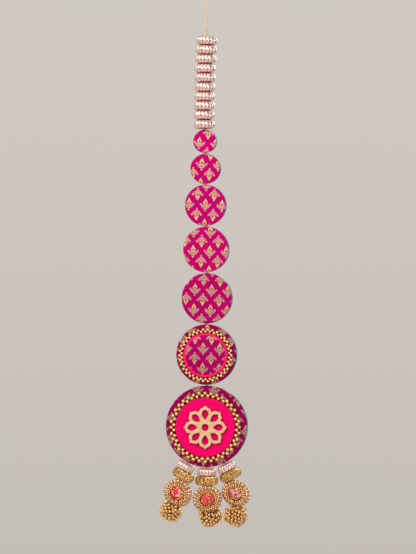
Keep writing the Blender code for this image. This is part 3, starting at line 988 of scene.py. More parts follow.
def ring_of(
    radii: Iterable[tuple[float, float]], steps: int, travel: Sequence[float] = (),
) -> bmesh.types.BMesh:
    """Spin an open profile of (radius, height) points about Z.

    Args:
        radii: the profile's points.
        steps: how many columns the full turn has.
        travel: a length for each point, kept as the vertex layer "travel".

    Returns:
        The turned shape, its seam and poles closed.
    """
    bm = bmesh.new()
    layer = bm.verts.layers.float.new("travel")
    verts = [bm.verts.new((radius, 0.0, height)) for radius, height in radii]
    for vert, length in zip(verts, travel):
        vert[layer] = length
    edges = [bm.edges.new(pair) for pair in zip(verts, verts[1:])]
    bmesh.ops.spin(
        bm, geom=verts + edges, cent=(0, 0, 0), axis=(0, 0, 1), dvec=(0, 0, 0), angle=FULL_TURN,
        steps=steps, use_merge=True, use_duplicate=False,
    )
    bmesh.ops.remove_doubles(bm, verts=bm.verts, dist=0.001 * MM)
    bmesh.ops.recalc_face_normals(bm, faces=bm.faces)
    return bm


def closed_ring(profile: Sequence[tuple[float, float]], steps: int) -> bmesh.types.BMesh:
    """Spin a closed profile of (radius, height) points about Z."""
    return ring_of([*profile, profile[0]], steps)


def lengths_along(points: Sequence[tuple[float, float]]) -> list[float]:
    """Return how far along a line of points each one lies."""
    return list(accumulate(map(math.dist, points, points[1:]), initial=0.0))


def ripple(waves: Sequence[tuple[int, float]], turn: float) -> float:
    """Return the mean of waves round a full turn, each with its count and its phase."""
    return sum(math.sin(count * turn + phase) for count, phase in waves) / len(waves)


def stamp(bm: bmesh.types.BMesh, shape: bpy.types.Mesh, matrix: Matrix) -> list[bmesh.types.BMVert]:
    """Add a copy of a mesh to a bmesh.

    Args:
        bm: what it is added to.
        shape: the mesh that is copied.
        matrix: the copy's place.

    Returns:
        The copy's vertices.
    """
    start = len(bm.verts)
    bm.from_mesh(shape)
    bm.verts.ensure_lookup_table()
    added = bm.verts[start:]
    bmesh.ops.transform(bm, matrix=matrix, verts=added)
    return added


def as_mesh(bm: bmesh.types.BMesh) -> bpy.types.Mesh:
    """Turn a bmesh into a smooth mesh, and free it."""
    mesh = bpy.data.meshes.new("shape")
    bm.to_mesh(mesh)
    bm.free()
    mesh.shade_smooth()
    return mesh


def swept_tube(
    points: Sequence[Vector], sides: int, width: Callable[[int, float], float],
) -> bmesh.types.BMesh:
    """Lay a grid round a line as a closed tube.

    Args:
        points: the line's points, close together.
        sides: how many sides the tube has.
        width: gives the radius at a point's number and an angle.

    Returns:
        The tube, with both ends filled and the layer "ply" from 0 to 1 with its width.
    """
    bm = bmesh.new()
    bmesh.ops.create_grid(bm, x_segments=sides, y_segments=len(points) - 1, size=1.0)
    bm.verts.ensure_lookup_table()
    ply = bm.verts.layers.float.new("ply")
    side = Vector((0.0, 1.0, 0.0))
    columns = sides + 1
    for number, point in enumerate(points):
        before, after = points[max(number - 1, 0)], points[min(number + 1, len(points) - 1)]
        ahead = (after - before).normalized()
        side = (side - ahead * side.dot(ahead)).normalized()
        other = ahead.cross(side)
        radii = [width(number, FULL_TURN * column / sides) for column in range(columns)]
        widest, narrowest = max(radii), min(radii)
        for column, radius in enumerate(radii):
            turn = FULL_TURN * column / sides
            vert = bm.verts[number * columns + column]
            vert.co = point + (side * math.cos(turn) + other * math.sin(turn)) * radius
            vert[ply] = (radius - narrowest) / max(widest - narrowest, 1e-9)
    bmesh.ops.remove_doubles(bm, verts=bm.verts, dist=0.0005 * MM)
    rims = [edge for edge in bm.edges if edge.is_boundary]
    bmesh.ops.holes_fill(bm, edges=rims, sides=0)
    bmesh.ops.recalc_face_normals(bm, faces=bm.faces)
    return bm


def smooth_line(points: Sequence[Vector], steps: int, closed: bool = False) -> list[Vector]:
    """Read points from a smooth curve through a line's own points.

    Args:
        points: the points that the curve passes through.
        steps: how many pieces each stretch is read in.
        closed: whether the curve comes back to its start.

    Returns:
        The curve's points.
    """
    count = len(points)
    line = []
    for i in range(count if closed else count - 1):
        if closed:
            before, start, end, after = (points[(i + k) % count] for k in (-1, 0, 1, 2))
        else:
            before, start = points[max(i - 1, 0)], points[i]
            end, after = points[i + 1], points[min(i + 2, count - 1)]
        for step in range(steps):
            t = step / steps
            line.append(
                0.5 * (
                    2 * start + (end - before) * t
                    + (2 * before - 5 * start + 4 * end - after) * t ** 2
                    + (3 * start - before - 3 * end + after) * t ** 3
                )
            )
    return line if closed else line + [points[-1]]


def evenly(points: Sequence[Vector], spacing: float) -> list[Vector]:
    """Spread points evenly along a line.

    Args:
        points: the line's own points.
        spacing: about how far apart the new ones lie.

    Returns:
        The new points, the line's two ends among them.
    """
    lengths = np.cumsum([0.0] + [(b - a).length for a, b in zip(points, points[1:])])
    count = max(2, round(lengths[-1] / spacing) + 1)
    spots = np.linspace(0.0, lengths[-1], count)
    rows = np.array(points, float)
    return [Vector(p) for p in zip(*(np.interp(spots, lengths, rows[:, k]) for k in range(3)))]


def fit(
    name: str, mesh: bpy.types.Mesh, finish: Finish, body: str, replaces: Sequence[str] = (),
) -> bpy.types.Object:
    """Make a finished piece of a mesh.

    Args:
        name: the piece's name.
        mesh: its mesh, in place.
        finish: its finish.
        body: the body that it moves with.
        replaces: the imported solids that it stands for.

    Returns:
        The piece.
    """
    mesh.name = name
    mesh.materials.clear()
    mesh.materials.append(finish.material())
    piece = bpy.data.objects.new(name, mesh)
    bpy.context.scene.collection.objects.link(piece)
    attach(piece, body)
    if replaces:
        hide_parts(*replaces)
    LOG.info("%s: %d faces, on %s", name, len(mesh.polygons), body)
    return piece


# Studio


@dataclass
class Studio:
    """The camera at the photograph's place, soft lights, and a pale floor and surround."""

    distance: float = 2.5
    sensor: float = 36.0
    floor_drop: float = 0.16
    floor_side: float = 2.0
    floor_colour: Colour = (0.62, 0.60, 0.58)
    surround: Colour = (0.64, 0.595, 0.55)

    def picture_point(self, column: float, row: float) -> tuple[float, float]:
        """Return the x and z on the hanging at a place in the photograph."""
        return (column - ORIGIN_COLUMN_PX) * PIXEL, (ORIGIN_ROW_PX - row) * PIXEL

    def set_camera(self) -> None:
        """Look straight along +Y at the photograph's middle."""
        x, z = self.picture_point(PICTURE_WIDTH_PX / 2, PICTURE_HEIGHT_PX / 2)
        data = bpy.data.cameras.new("camera")
        data.sensor_width = self.sensor
        data.lens = self.sensor * self.distance / (PICTURE_HEIGHT_PX * PIXEL)
        camera = bpy.data.objects.new("camera", data)
        camera.location = (x, -self.distance, z)
        camera.rotation_euler = (math.pi / 2, 0.0, 0.0)
        bpy.context.scene.collection.objects.link(camera)
        bpy.context.scene.camera = camera

    def add_light(self, name: str, spot: Vector, side: float, power: float, colour: Colour) -> None:
        """Add a square light that faces the hanging's middle.

        Args:
            name: the light's name.
            spot: where it stands.
            side: the length of its side.
            power: its power in watts.
            colour: its colour.
        """
        data = bpy.data.lights.new(name, "AREA")
        data.size = side
        data.energy = power
        data.color = colour
        light = bpy.data.objects.new(name, data)
        middle = (CAD_BOX[0] + CAD_BOX[1]) / 2
        light.location = spot
        light.rotation_euler = (middle - spot).to_track_quat("-Z", "Y").to_euler()
        bpy.context.scene.collection.objects.link(light)

    def set_lights(self) -> None:
        """Light the front softly from the upper left, and fill the other sides."""
        self.add_light("key", Vector((-0.75, -1.3, 0.55)), 0.8, 27.0, (1.0, 0.98, 0.96))
        self.add_light("fill", Vector((1.2, -1.2, -0.1)), 0.6, 8.0, (0.98, 0.98, 1.0))
        self.add_light("back", Vector((0.9, 1.5, 0.4)), 0.8, 14.0, (1.0, 1.0, 1.0))

    def set_surround(self) -> None:
        """Make the world paler above than below, and dim its reflection in front."""
        world = bpy.data.worlds.new("surround")
        bpy.context.scene.world = world
        world.use_nodes = True
        graph = Graph(world.node_tree)
        direction = graph.add("ShaderNodeTexCoord").outputs["Generated"]
        side, depth, height = graph.split(direction)
        below = graph.ranged(height, -0.9, 0.2, 0.25, 1.0)
        near = graph.ranged(depth, -0.9, 0.1, 0.26, 1.0)
        near = graph.math("MAXIMUM", near, graph.add("ShaderNodeLightPath").outputs["Is Camera Ray"])
        right = graph.ranged(side, 0.2, 0.9, 1.0, 0.65)
        shade = graph.math("MULTIPLY", graph.math("MULTIPLY", below, near), right)
        colour = graph.blend(shade, (0.0, 0.0, 0.0), self.surround)
        background = world.node_tree.nodes["Background"]
        graph.join(background.inputs["Color"], colour)
        background.inputs["Strength"].default_value = 1.0

    def lay_floor(self) -> None:
        """Lay a pale floor well below the hanging."""
        bm = bmesh.new()
        bmesh.ops.create_grid(bm, x_segments=8, y_segments=8, size=self.floor_side / 2)
        bmesh.ops.translate(bm, verts=bm.verts, vec=(0.0, 0.0, CAD_BOX[0].z - self.floor_drop))
        mesh = as_mesh(bm)
        material = bpy.data.materials.new("pale floor")
        material.use_nodes = True
        shader = material.node_tree.nodes["Principled BSDF"]
        shader.inputs["Base Color"].default_value = (*self.floor_colour, 1.0)
        shader.inputs["Roughness"].default_value = 0.8
        mesh.materials.append(material)
        floor = bpy.data.objects.new("floor", mesh)
        bpy.context.scene.collection.objects.link(floor)

    def build(self) -> None:
        """Set the whole studio."""
        bpy.context.scene.view_settings.view_transform = "Standard"
        self.set_camera()
        self.set_lights()
        self.set_surround()
        self.lay_floor()


# Cord and melon beads


@dataclass
class HangingCord:
    """One cream cord, doubled: up through the beads, round the loop and down again."""

    bead_count: int = 10
    diameter: float = 1.3 * MM
    length: float = 0.31
    half_spacing: float = 0.8 * MM
    end_below_bead: float = 3.825 * MM
    above_beads: float = -54.0 * MM
    top_shift: float = 0.5 * MM
    ply_pitch: float = 2.4 * MM
    ring_spacing: float = 0.3 * MM
    curve_steps: int = 24
    sides: int = 12
    ply_relief: float = 0.26
    ply_fullness: float = 0.7
    loop_half_route: tuple[tuple[float, float], ...] = (
        (-44.0 * MM, 0.8 * MM),
        (-33.0 * MM, 0.85 * MM),
        (-26.0 * MM, 1.15 * MM),
        (-20.0 * MM, 2.05 * MM),
        (-14.0 * MM, 3.35 * MM),
        (-8.5 * MM, 4.25 * MM),
        (-3.85 * MM, 4.5 * MM),
        (-1.6 * MM, 3.9 * MM),
        (0.05 * MM, 2.25 * MM),
    )
    loop_top: float = 0.65 * MM

    def route(self) -> list[Vector]:
        """Return the route's own points, from below the lowest bead round to the same place."""
        seats = [Seat.of(f"melon_bead_{i:02d}", UP) for i in range(self.bead_count, 0, -1)]
        half = [(seats[0].middle.z - self.end_below_bead, self.half_spacing, seats[0].middle.x)]
        half += [(seat.middle.z, self.half_spacing, seat.middle.x) for seat in seats]
        half.append((self.above_beads, self.half_spacing, self.top_shift))
        start = self.loop_half_route[0][0]
        half += [(z, out, self.top_shift * z / start) for z, out in self.loop_half_route]
        right = [Vector((shift + out, 0.0, z)) for z, out, shift in half]
        left = [Vector((shift - out, 0.0, z)) for z, out, shift in reversed(half)]
        return right + [Vector((0.0, 0.0, self.loop_top))] + left

    def build(self) -> None:
        line = evenly(smooth_line(self.route(), self.curve_steps), self.ring_spacing)

        def width(number: int, angle: float) -> float:
            """Return the plies' outline: two lobes that turn along the cord."""
            twist = FULL_TURN * number * self.ring_spacing / self.ply_pitch
            lobe = abs(math.cos(angle - twist / 2)) ** self.ply_fullness
            return self.diameter / 2 * (1.0 - self.ply_relief + self.ply_relief * lobe)

        mesh = as_mesh(swept_tube(line, self.sides, width))
        cord = fit("hanging_cord_twisted", mesh, CREAM_CORD, "cord_and_beads", ["hanging_cord"])


@dataclass
class MelonBead:
    """A flattened plated bead with round ribs and narrow grooves."""

    radius: float
    half_height: float
    bore: float
    flutes: int = 16
    columns_a_flute: int = 8
    slip: float = 0.0
    groove_depth: float = 0.09
    groove_start: float = 0.32
    groove_fade: float = 0.4
    rib_fullness: float = 0.55
    shoulder: float = 0.87
    shoulder_fade: float = 0.12
    shoulder_copper: float = 0.82
    copper_spread: float = 0.8
    fullness: float = 3.4
    rows: tuple[float, ...] = (74.0, 66.0, 57.0, 47.0, 36.0, 24.0, 12.0)

    def outline(self) -> list[tuple[float, float]]:
        """Return the closed profile, from the bore over the shoulder to the waist and back."""
        upper = [(self.bore, 0.86 * self.half_height), (self.bore * 1.2, 0.99 * self.half_height)]
        top = math.sin(math.radians(self.rows[0])) ** (2.0 / self.fullness)
        for degrees in self.rows:
            angle = math.radians(degrees)
            reach = math.cos(angle) ** (2.0 / self.fullness)
            height = math.sin(angle) ** (2.0 / self.fullness) / top
            upper.append((reach * self.radius, height * self.half_height))
        return upper + [(self.radius, 0.0)] + [(r, -z) for r, z in reversed(upper)]

    def shape(self) -> bpy.types.Mesh:
        """Spin the profile, press the grooves in and note how deep each point lies."""
        columns = self.flutes * self.columns_a_flute
        bm = closed_ring(self.outline(), columns)
        depth = bm.verts.layers.float.new("groove")
        for vert in bm.verts:
            reach = math.hypot(vert.co.x, vert.co.y) / self.radius
            turn = math.atan2(vert.co.y, vert.co.x) / FULL_TURN * self.flutes
            groove = 1.0 - abs(math.sin(math.pi * turn)) ** self.rib_fullness
            fade = min(max((reach - self.groove_start) / self.groove_fade, 0.0), 1.0)
            shoulder = min(max((self.shoulder - reach) / self.shoulder_fade, 0.0), 1.0)
            vert.co *= 1.0 - self.groove_depth * (groove * fade)
            # The groove layer gives the copper of grooves and shoulders, and the painted shade at the
            # grooves' deepest.
            vert[depth] = max(groove ** self.copper_spread, self.shoulder_copper * shoulder)
        return as_mesh(bm)

    def build(self, name: str, node: str, body: str, spin: float) -> None:
        """Seat a bead on the place of a packed one.

        Args:
            name: the piece's name.
            node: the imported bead.
            body: the body that it moves with.
            spin: how far it is turned about its bore.
        """
        mesh = self.shape()
        along = Matrix.Translation((0.0, 0.0, self.slip))
        mesh.transform(Seat.of(node, UP).matrix() @ along @ Matrix.Rotation(spin, 4, "Z"))
        fit(name, mesh, PLATED_BEAD, body, [node])


@dataclass
class BeadString:
    """The melon beads stacked on the cord."""

    count: int = 10
    radius: float = 10.1 * MM
    bore: float = 2.1 * MM
    half_height: float = 4.42 * MM
    last_half_height: float = 4.27 * MM
    spin_step: float = 0.37 * FULL_TURN

    def build(self) -> None:
        """Make the beads one by one, from the top."""
        for number in range(1, self.count + 1):
            node = f"melon_bead_{number:02d}"
            half_height = self.half_height if number < self.count else self.last_half_height
            bead = MelonBead(self.radius, half_height, self.bore)
            bead.build(f"{node}_fluted", node, "cord_and_beads", self.spin_step * number)


# Cloth-covered boards


@dataclass(frozen=True)
class Cut:
    """Where a round of cloth was cut: its place from a motif's middle, and its turn in degrees."""

    aside: float = 0.0
    above: float = 0.0
    turn: float = 0.0

    def on_bolt(self, across: float, up: float) -> Vector:
        """Find a point of the round on the bolt.

        Args:
            across: how far the point lies to the right of the round's middle.
            up: how far it lies above it.

        Returns:
            Its place from a motif's middle.
        """
        angle = math.radians(self.turn)
        x = across * math.cos(angle) - up * math.sin(angle)
        y = across * math.sin(angle) + up * math.cos(angle)
        return Vector((x - self.aside, y - self.above, 0.0))


@dataclass
class ClothRound:
    """A round of cloth drawn over a board's face and rim, and turned in behind it."""

    radius: float
    thickness: float
    rim: float
    hem: float
    cut: Cut = Cut()
    cloth: float = 0.3 * MM
    pucker: float = 0.14 * MM
    pucker_pitch: float = 3.6 * MM
    dimple: float = 0.07 * MM
    # How much the brocade is darkened as painted shade; 1 leaves it as it is.
    shade: float = 1.0
    seed: int = 1
    column: float = 0.95 * MM
    face_shares: tuple[float, ...] = (0.0, 0.12, 0.25, 0.4, 0.55, 0.7, 0.82, 0.92, 0.97)
    hem_shares: tuple[float, ...] = (0.35, 0.7, 1.0)
    rim_steps: int = 6
    fold: float = 0.4 * MM
    wave_count: int = 4
    wave_spread: int = 5
    dimples_a_metre: float = 90.0

    def profile(self) -> tuple[list[tuple[float, float]], list[float]]:
        """Return the cloth's line from the middle of the face to the hem, and the length along it."""
        flat = self.radius - self.rim
        points = [(flat * share, self.thickness) for share in self.face_shares]
        for step in range(self.rim_steps + 1):
            angle = math.pi / 2 * step / self.rim_steps
            fall = self.rim * (1 - math.cos(angle))
            points.append((flat + self.rim * math.sin(angle), self.thickness - fall))
        points += [
            (self.radius, (self.thickness - self.rim + self.fold) / 2),
            (self.radius - 0.02 * MM, self.fold),
            (self.radius - 0.3 * self.fold, 0.3 * self.fold),
            (self.radius - self.fold, 0.0),
        ]
        points += [(self.radius - self.fold - self.hem * share, 0.0) for share in self.hem_shares]
        clean = [points[0]]
        for point in points[1:]:
            if math.dist(point, clean[-1]) > 0.01 * MM:
                clean.append(point)
        return clean, lengths_along(clean)

    def flat_diameter(self) -> float:
        """Return the size that the round is cut to."""
        return 2.0 * self.profile()[1][-1]

    def shape(self) -> bpy.types.Mesh:
        """Spin the cloth, gather its rim and note where each point lies on the bolt."""
        points, travel = self.profile()
        steps = max(64, round(FULL_TURN * self.radius / self.column / 4) * 4)
        bm = ring_of(points, steps, travel)
        cloth = bm.verts.layers.float_vector.new("cloth")
        # The painted shade, the same over the whole round, read by the brocade's shader.
        shade = bm.verts.layers.float.new("shade")
        length = bm.verts.layers.float["travel"]
        draw = random.Random(self.seed)
        gathers = round(FULL_TURN * self.radius / self.pucker_pitch)
        spread = self.wave_spread
        waves = [
            (gathers + draw.randint(-spread, spread), draw.uniform(0.0, FULL_TURN))
            for _ in range(self.wave_count)
        ]
        edge = self.radius - 2.0 * self.rim
        for vert in bm.verts:
            reach = math.hypot(vert.co.x, vert.co.y)
            turn = math.atan2(vert.co.y, vert.co.x)
            vert[shade] = self.shade
            vert[cloth] = self.cut.on_bolt(vert[length] * math.cos(turn), vert[length] * math.sin(turn))
            past_edge = min(max((vert[length] - edge) / (2.0 * self.rim), 0.0), 1.0)
            pull = self.pucker * past_edge * (0.5 + 0.7 * ripple(waves, turn))
            if reach > 0.0:
                vert.co.x -= vert.co.x / reach * pull
                vert.co.y -= vert.co.y / reach * pull
            if vert.co.z > 0.6 * self.thickness:
                spot = Vector((vert.co.x, vert.co.y, self.seed * 0.1)) * self.dimples_a_metre
                vert.co.z -= self.dimple * (1.0 + noise.noise(spot)) * (0.4 + past_edge)
        bm.verts.layers.float.remove(length)
        return as_mesh(bm)

    def build(
        self, name: str, finish: Finish, body: str, node: str, facing: Facing, y_back: float,
    ) -> bpy.types.Object:
        """Args:
            name: the piece's name.
            finish: the cloth.
            body: the body that it moves with.
            node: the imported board.
            facing: which way its face looks.
            y_back: where the board's other side lies.

        Returns:
            The piece.
        """
        low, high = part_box(node)
        middle = (low + high) / 2
        mesh = self.shape()
        turn = Matrix.Rotation(math.pi / 2, 4, "X")
        if facing is Facing.BACK:
            turn = Matrix.Rotation(math.pi, 4, "Z") @ turn
        mesh.transform(Matrix.Translation((middle.x, y_back, middle.z)) @ turn)
        piece = fit(name, mesh, finish, body, [node])
        wall = piece.modifiers.new("cloth", "SOLIDIFY")
        wall.thickness = self.cloth
        wall.offset = -1.0
        across = self.flat_diameter()
        LOG.info("%s is cut %.0f mm across", name, across / MM)
        return piece


@dataclass
class CoveredDisc:
    """A brocade-covered board with a teal-covered one glued behind it."""

    number: int
    cut: Cut
    # The disc's painted shade, given to its brocade cover.
    shade: float
    rim: float = 1.5 * MM
    backing_rim: float = 0.7 * MM
    wrap: float = 0.03 * MM
    backing_wrap: float = 0.08 * MM
    backing_pucker: float = 0.1 * MM
    backing_seed: int = 20
    widest_hem: float = 5.0 * MM
    hem_share: float = 0.36

    def build(self) -> None:
        """Cover both boards."""
        body = f"disc_{self.number}"
        front, back = f"{body}_brocade", f"{body}_backing"
        low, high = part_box(front)
        radius, thickness = (high.x - low.x) / 2, high.y - low.y
        hem = min(self.widest_hem, self.hem_share * radius)
        cover = ClothRound(
            radius + self.wrap, thickness, self.rim, hem, self.cut, shade=self.shade, seed=self.number,
        )
        cover.build(f"{front}_cover", BROCADE, body, front, Facing.FRONT, high.y)
        low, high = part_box(back)
        radius, thickness = (high.x - low.x) / 2, high.y - low.y
        backing = ClothRound(
            radius + self.backing_wrap, thickness, self.backing_rim, hem, pucker=self.backing_pucker,
            seed=self.number + self.backing_seed,
        )
        backing.build(f"{back}_cover", TEAL_CLOTH, body, back, Facing.BACK, low.y)


# Thread links


@dataclass
class ThreadLink:
    """Stitches of thread that join a disc to what it hangs from, their dark magenta also painted shade
    in the gap between the discs.
    """

    parent: str
    child: str
    body: str
    half_length: float
    stitches: int = 4
    stitch_gap: float = 0.62 * MM
    half_depth: float = 0.55 * MM
    width: float = 0.5 * MM
    lean: float = 0.1 * MM
    steps: int = 20
    sides: int = 6

    def build(self) -> None:
        """Lay the stitches side by side across the gap between the two pieces."""
        above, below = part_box(self.parent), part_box(self.child)
        middle = Vector((
            (below[0].x + below[1].x) / 2, (below[0].y + below[1].y) / 2, (above[0].z + below[1].z) / 2,
        ))
        bm = bmesh.new()
        for number in range(self.stitches):
            aside = (number - (self.stitches - 1) / 2) * self.stitch_gap
            lean = self.lean * (-1) ** number
            loop = []
            for step in range(self.steps + 1):
                turn = FULL_TURN * step / self.steps
                across = Vector((aside + lean * math.cos(turn), self.half_depth * math.sin(turn), 0.0))
                loop.append(middle + across + UP * self.half_length * math.cos(turn))
            tube = swept_tube(loop, self.sides, lambda *_: self.width / 2)
            stamp(bm, as_mesh(tube), Matrix.Identity(4))
        fit(f"{self.body}_thread_link", as_mesh(bm), LINK_THREAD, self.body)


# Sewn beads


@dataclass
class SmallBeads:
    """Small drilled beads and the thread they are strung on."""

    radius: float
    steps: int = 11
    rows: int = 6
    mouth_degrees: float = 75.0
    bore_share: float = 0.2
    bore_reach: float = 0.7

    def bead(self) -> bpy.types.Mesh:
        """Spin one bead, its bore on Z."""
        profile = []
        for step in range(self.rows):
            sweep = 2.0 * self.mouth_degrees * step / (self.rows - 1)
            angle = math.radians(self.mouth_degrees - sweep)
            profile.append((self.radius * math.cos(angle), self.radius * math.sin(angle)))
        bore, reach = self.bore_share * self.radius, self.bore_reach * self.radius
        profile += [(bore, -reach), (bore, reach)]
        return as_mesh(closed_ring(profile, self.steps))

    def string(self, lines: Sequence[Sequence[Vector]], sizes: Iterable[float]) -> bpy.types.Mesh:
        """Thread beads on closed lines.

        Args:
            lines: each line's bead middles, in order.
            sizes: each bead's own size, as a share, in the order of all the lines.

        Returns:
            All the beads as one mesh.
        """
        shape = self.bead()
        bm = bmesh.new()
        shares = iter(sizes)
        for line in lines:
            for index, spot in enumerate(line):
                ahead = (line[(index + 1) % len(line)] - line[index - 1]).normalized()
                turn = ahead.to_track_quat("Z", "Y").to_matrix().to_4x4()
                size = Matrix.Scale(next(shares), 4)
                stamp(bm, shape, Matrix.Translation(spot) @ turn @ size)
        return as_mesh(bm)

    def thread(self, lines: Sequence[Sequence[Vector]], width: float) -> bpy.types.Mesh:
        """Run a thread through the beads of closed lines.

        Args:
            lines: each line's bead middles, in order.
            width: the thread's thickness.

        Returns:
            The thread as one mesh.
        """
        bm = bmesh.new()
        for line in lines:
            for index, spot in enumerate(line):
                following = line[(index + 1) % len(line)]
                tube = swept_tube(evenly([spot, following], self.radius), 6, lambda *_: width / 2)
                stamp(bm, as_mesh(tube), Matrix.Identity(4))
        return as_mesh(bm)


@dataclass
class SewnRing:
    """Gold beads sewn round a disc in a zigzag, one out and one in."""

    node: str
    body: str
    pairs: int
    bead_radius: float
    zigzag: float
    wander: float = 0.16 * MM
    # Wide, so that the dark thread darkens the gaps between the beads as painted shade.
    thread_width: float = 0.8 * MM

    def build(self) -> None:
        """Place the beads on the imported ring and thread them."""
        low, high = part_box(self.node)
        middle = (low + high) / 2
        outer = (high.x - low.x) / 2 - self.bead_radius
        draw = random.Random(self.pairs)
        spots = []
        for step in range(2 * self.pairs):
            angle = FULL_TURN * step / (2 * self.pairs)
            reach = outer - (self.zigzag if step % 2 else 0.0) + draw.uniform(-1.0, 1.0) * self.wander
            angle += draw.uniform(-1.0, 1.0) * self.wander / outer
            spots.append(middle + Vector((math.cos(angle), 0.0, math.sin(angle))) * reach)
        beads = SmallBeads(self.bead_radius)
        sizes = [draw.uniform(0.95, 1.02) for _ in spots]
        fit(f"{self.node}_beads", beads.string([spots], sizes), GOLD_BEAD, self.body, [self.node])
        fit(f"{self.node}_thread", beads.thread([spots], self.thread_width), SEWING_THREAD_AND_SHADE, self.body)


# Trim of the two large discs


@dataclass
class RaisedPad:
    """Disc 6's padded round: a brocade crown with a rolled hot pink edge."""

    node: str = "disc_6_pad"
    body: str = "disc_6"
    edge_width: float = 1.9 * MM
    edge_height: float = 3.1 * MM
    cut: Cut = Cut(-1.9 * MM, 6.3 * MM, 1.8)
    # The crown's painted shade, darkening its brocade.
    shade: float = 0.69
    overhang: float = 0.3 * MM
    lean: float = 0.5 * MM
    steps: int = 120
    base: float = 0.6 * MM
    rim_height: float = 2.4 * MM
    crown_shares: tuple[float, ...] = (0.0, 0.15, 0.3, 0.45, 0.58, 0.7, 0.8, 0.88, 0.94, 0.975, 1.0)
    tuck: float = 0.3 * MM
    edge_tuck: float = 0.9 * MM
    edge_sides: int = 14
    edge_pucker: float = 0.004

    def crown(self, radius: float, height: float) -> bpy.types.Mesh:
        """Make the padded brocade, drawn in at its rim and flat behind.

        Args:
            radius: its radius at the rim.
            height: its height at the middle.

        Returns:
            The crown, its front at +Z.
        """
        points = [
            (radius * share, height - (height - self.rim_height) * share ** 5.0)
            for share in self.crown_shares
        ]
        points += [(radius * 1.01, 0.55 * height), (radius, self.base)]
        points += [(0.5 * radius, self.base), (0.0, self.base)]
        bm = ring_of(points, self.steps, lengths_along(points))
        cloth = bm.verts.layers.float_vector.new("cloth")
        shade = bm.verts.layers.float.new("shade")
        length = bm.verts.layers.float["travel"]
        draw = random.Random(6)
        waves = [(count, draw.uniform(0.0, FULL_TURN)) for count in (17, 26, 41)]
        for vert in bm.verts:
            turn = math.atan2(vert.co.y, vert.co.x)
            vert[shade] = self.shade
            vert[cloth] = self.cut.on_bolt(vert[length] * math.cos(turn), vert[length] * math.sin(turn))
            share = math.hypot(vert.co.x, vert.co.y) / radius
            if vert.co.z > self.base + 0.1 * MM:
                vert.co.z += 0.13 * MM * ripple(waves, turn) * share ** 6
                vert.co.z += 0.10 * MM * noise.noise(Vector((vert.co.x, vert.co.y, 0.0)) * 110.0)
        bm.verts.layers.float.remove(length)
        return as_mesh(bm)

    def rolled_edge(self, radius: float) -> bpy.types.Mesh:
        """Make the pink edge, a bulging band round the crown.

        Args:
            radius: its outer radius.

        Returns:
            The band, its front at +Z.
        """
        inner = radius - self.edge_width - self.edge_tuck
        middle = (radius + inner) / 2
        half_width, half_height = (radius - inner) / 2, self.edge_height / 2
        profile = []
        for side in range(self.edge_sides):
            angle = FULL_TURN * side / self.edge_sides
            rise = half_height * (1.0 + math.sin(angle))
            profile.append((middle + half_width * math.cos(angle), rise))
        bm = closed_ring(profile, self.steps)
        cloth = bm.verts.layers.float_vector.new("cloth")
        draw = random.Random(66)
        waves = [(count, draw.uniform(0.0, FULL_TURN)) for count in (31, 44, 59)]
        for vert in bm.verts:
            turn = math.atan2(vert.co.y, vert.co.x)
            reach = math.hypot(vert.co.x, vert.co.y)
            vert[cloth] = Vector((turn * radius, reach + vert.co.z, 0.0))
            gather = 1.0 - self.edge_pucker * (1.0 + ripple(waves, turn))
            vert.co.x *= gather
            vert.co.y *= gather
        return as_mesh(bm)

    def build(self) -> None:
        """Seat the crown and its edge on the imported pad."""
        low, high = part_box(self.node)
        middle = (low + high) / 2
        radius, height = (high.x - low.x) / 2, high.y - low.y
        seat = Matrix.Translation((middle.x, high.y, middle.z)) @ Matrix.Rotation(math.pi / 2, 4, "X")
        crown = self.crown(radius - self.edge_width + self.tuck, height)
        crown.transform(Matrix.Translation((-self.lean, 0.0, 0.3 * self.lean)) @ seat)
        pad = fit(f"{self.node}_crown", crown, BROCADE, self.body, [self.node])
        edge = self.rolled_edge(radius + self.overhang)
        edge.transform(seat)
        roll = fit(f"{self.node}_rolled_edge", edge, PINK_SATIN, self.body, [self.node])


@dataclass
class PinkBoard:
    """Disc 7's plain board, covered in hot pink cloth."""

    node: str = "disc_7_pink_board"
    body: str = "disc_7"
    radius: float = 28.1 * MM
    thickness: float = 2.4 * MM
    rim: float = 0.6 * MM
    hem: float = 5.0 * MM
    pucker: float = 0.05 * MM
    dimple: float = 0.03 * MM

    def build(self) -> None:
        """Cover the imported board."""
        cover = ClothRound(
            self.radius, self.thickness, self.rim, self.hem, pucker=self.pucker, dimple=self.dimple,
        )
        y_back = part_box(self.node)[1].y
        cover.build(f"{self.node}_cover", PINK_CLOTH, self.body, self.node, Facing.FRONT, y_back)


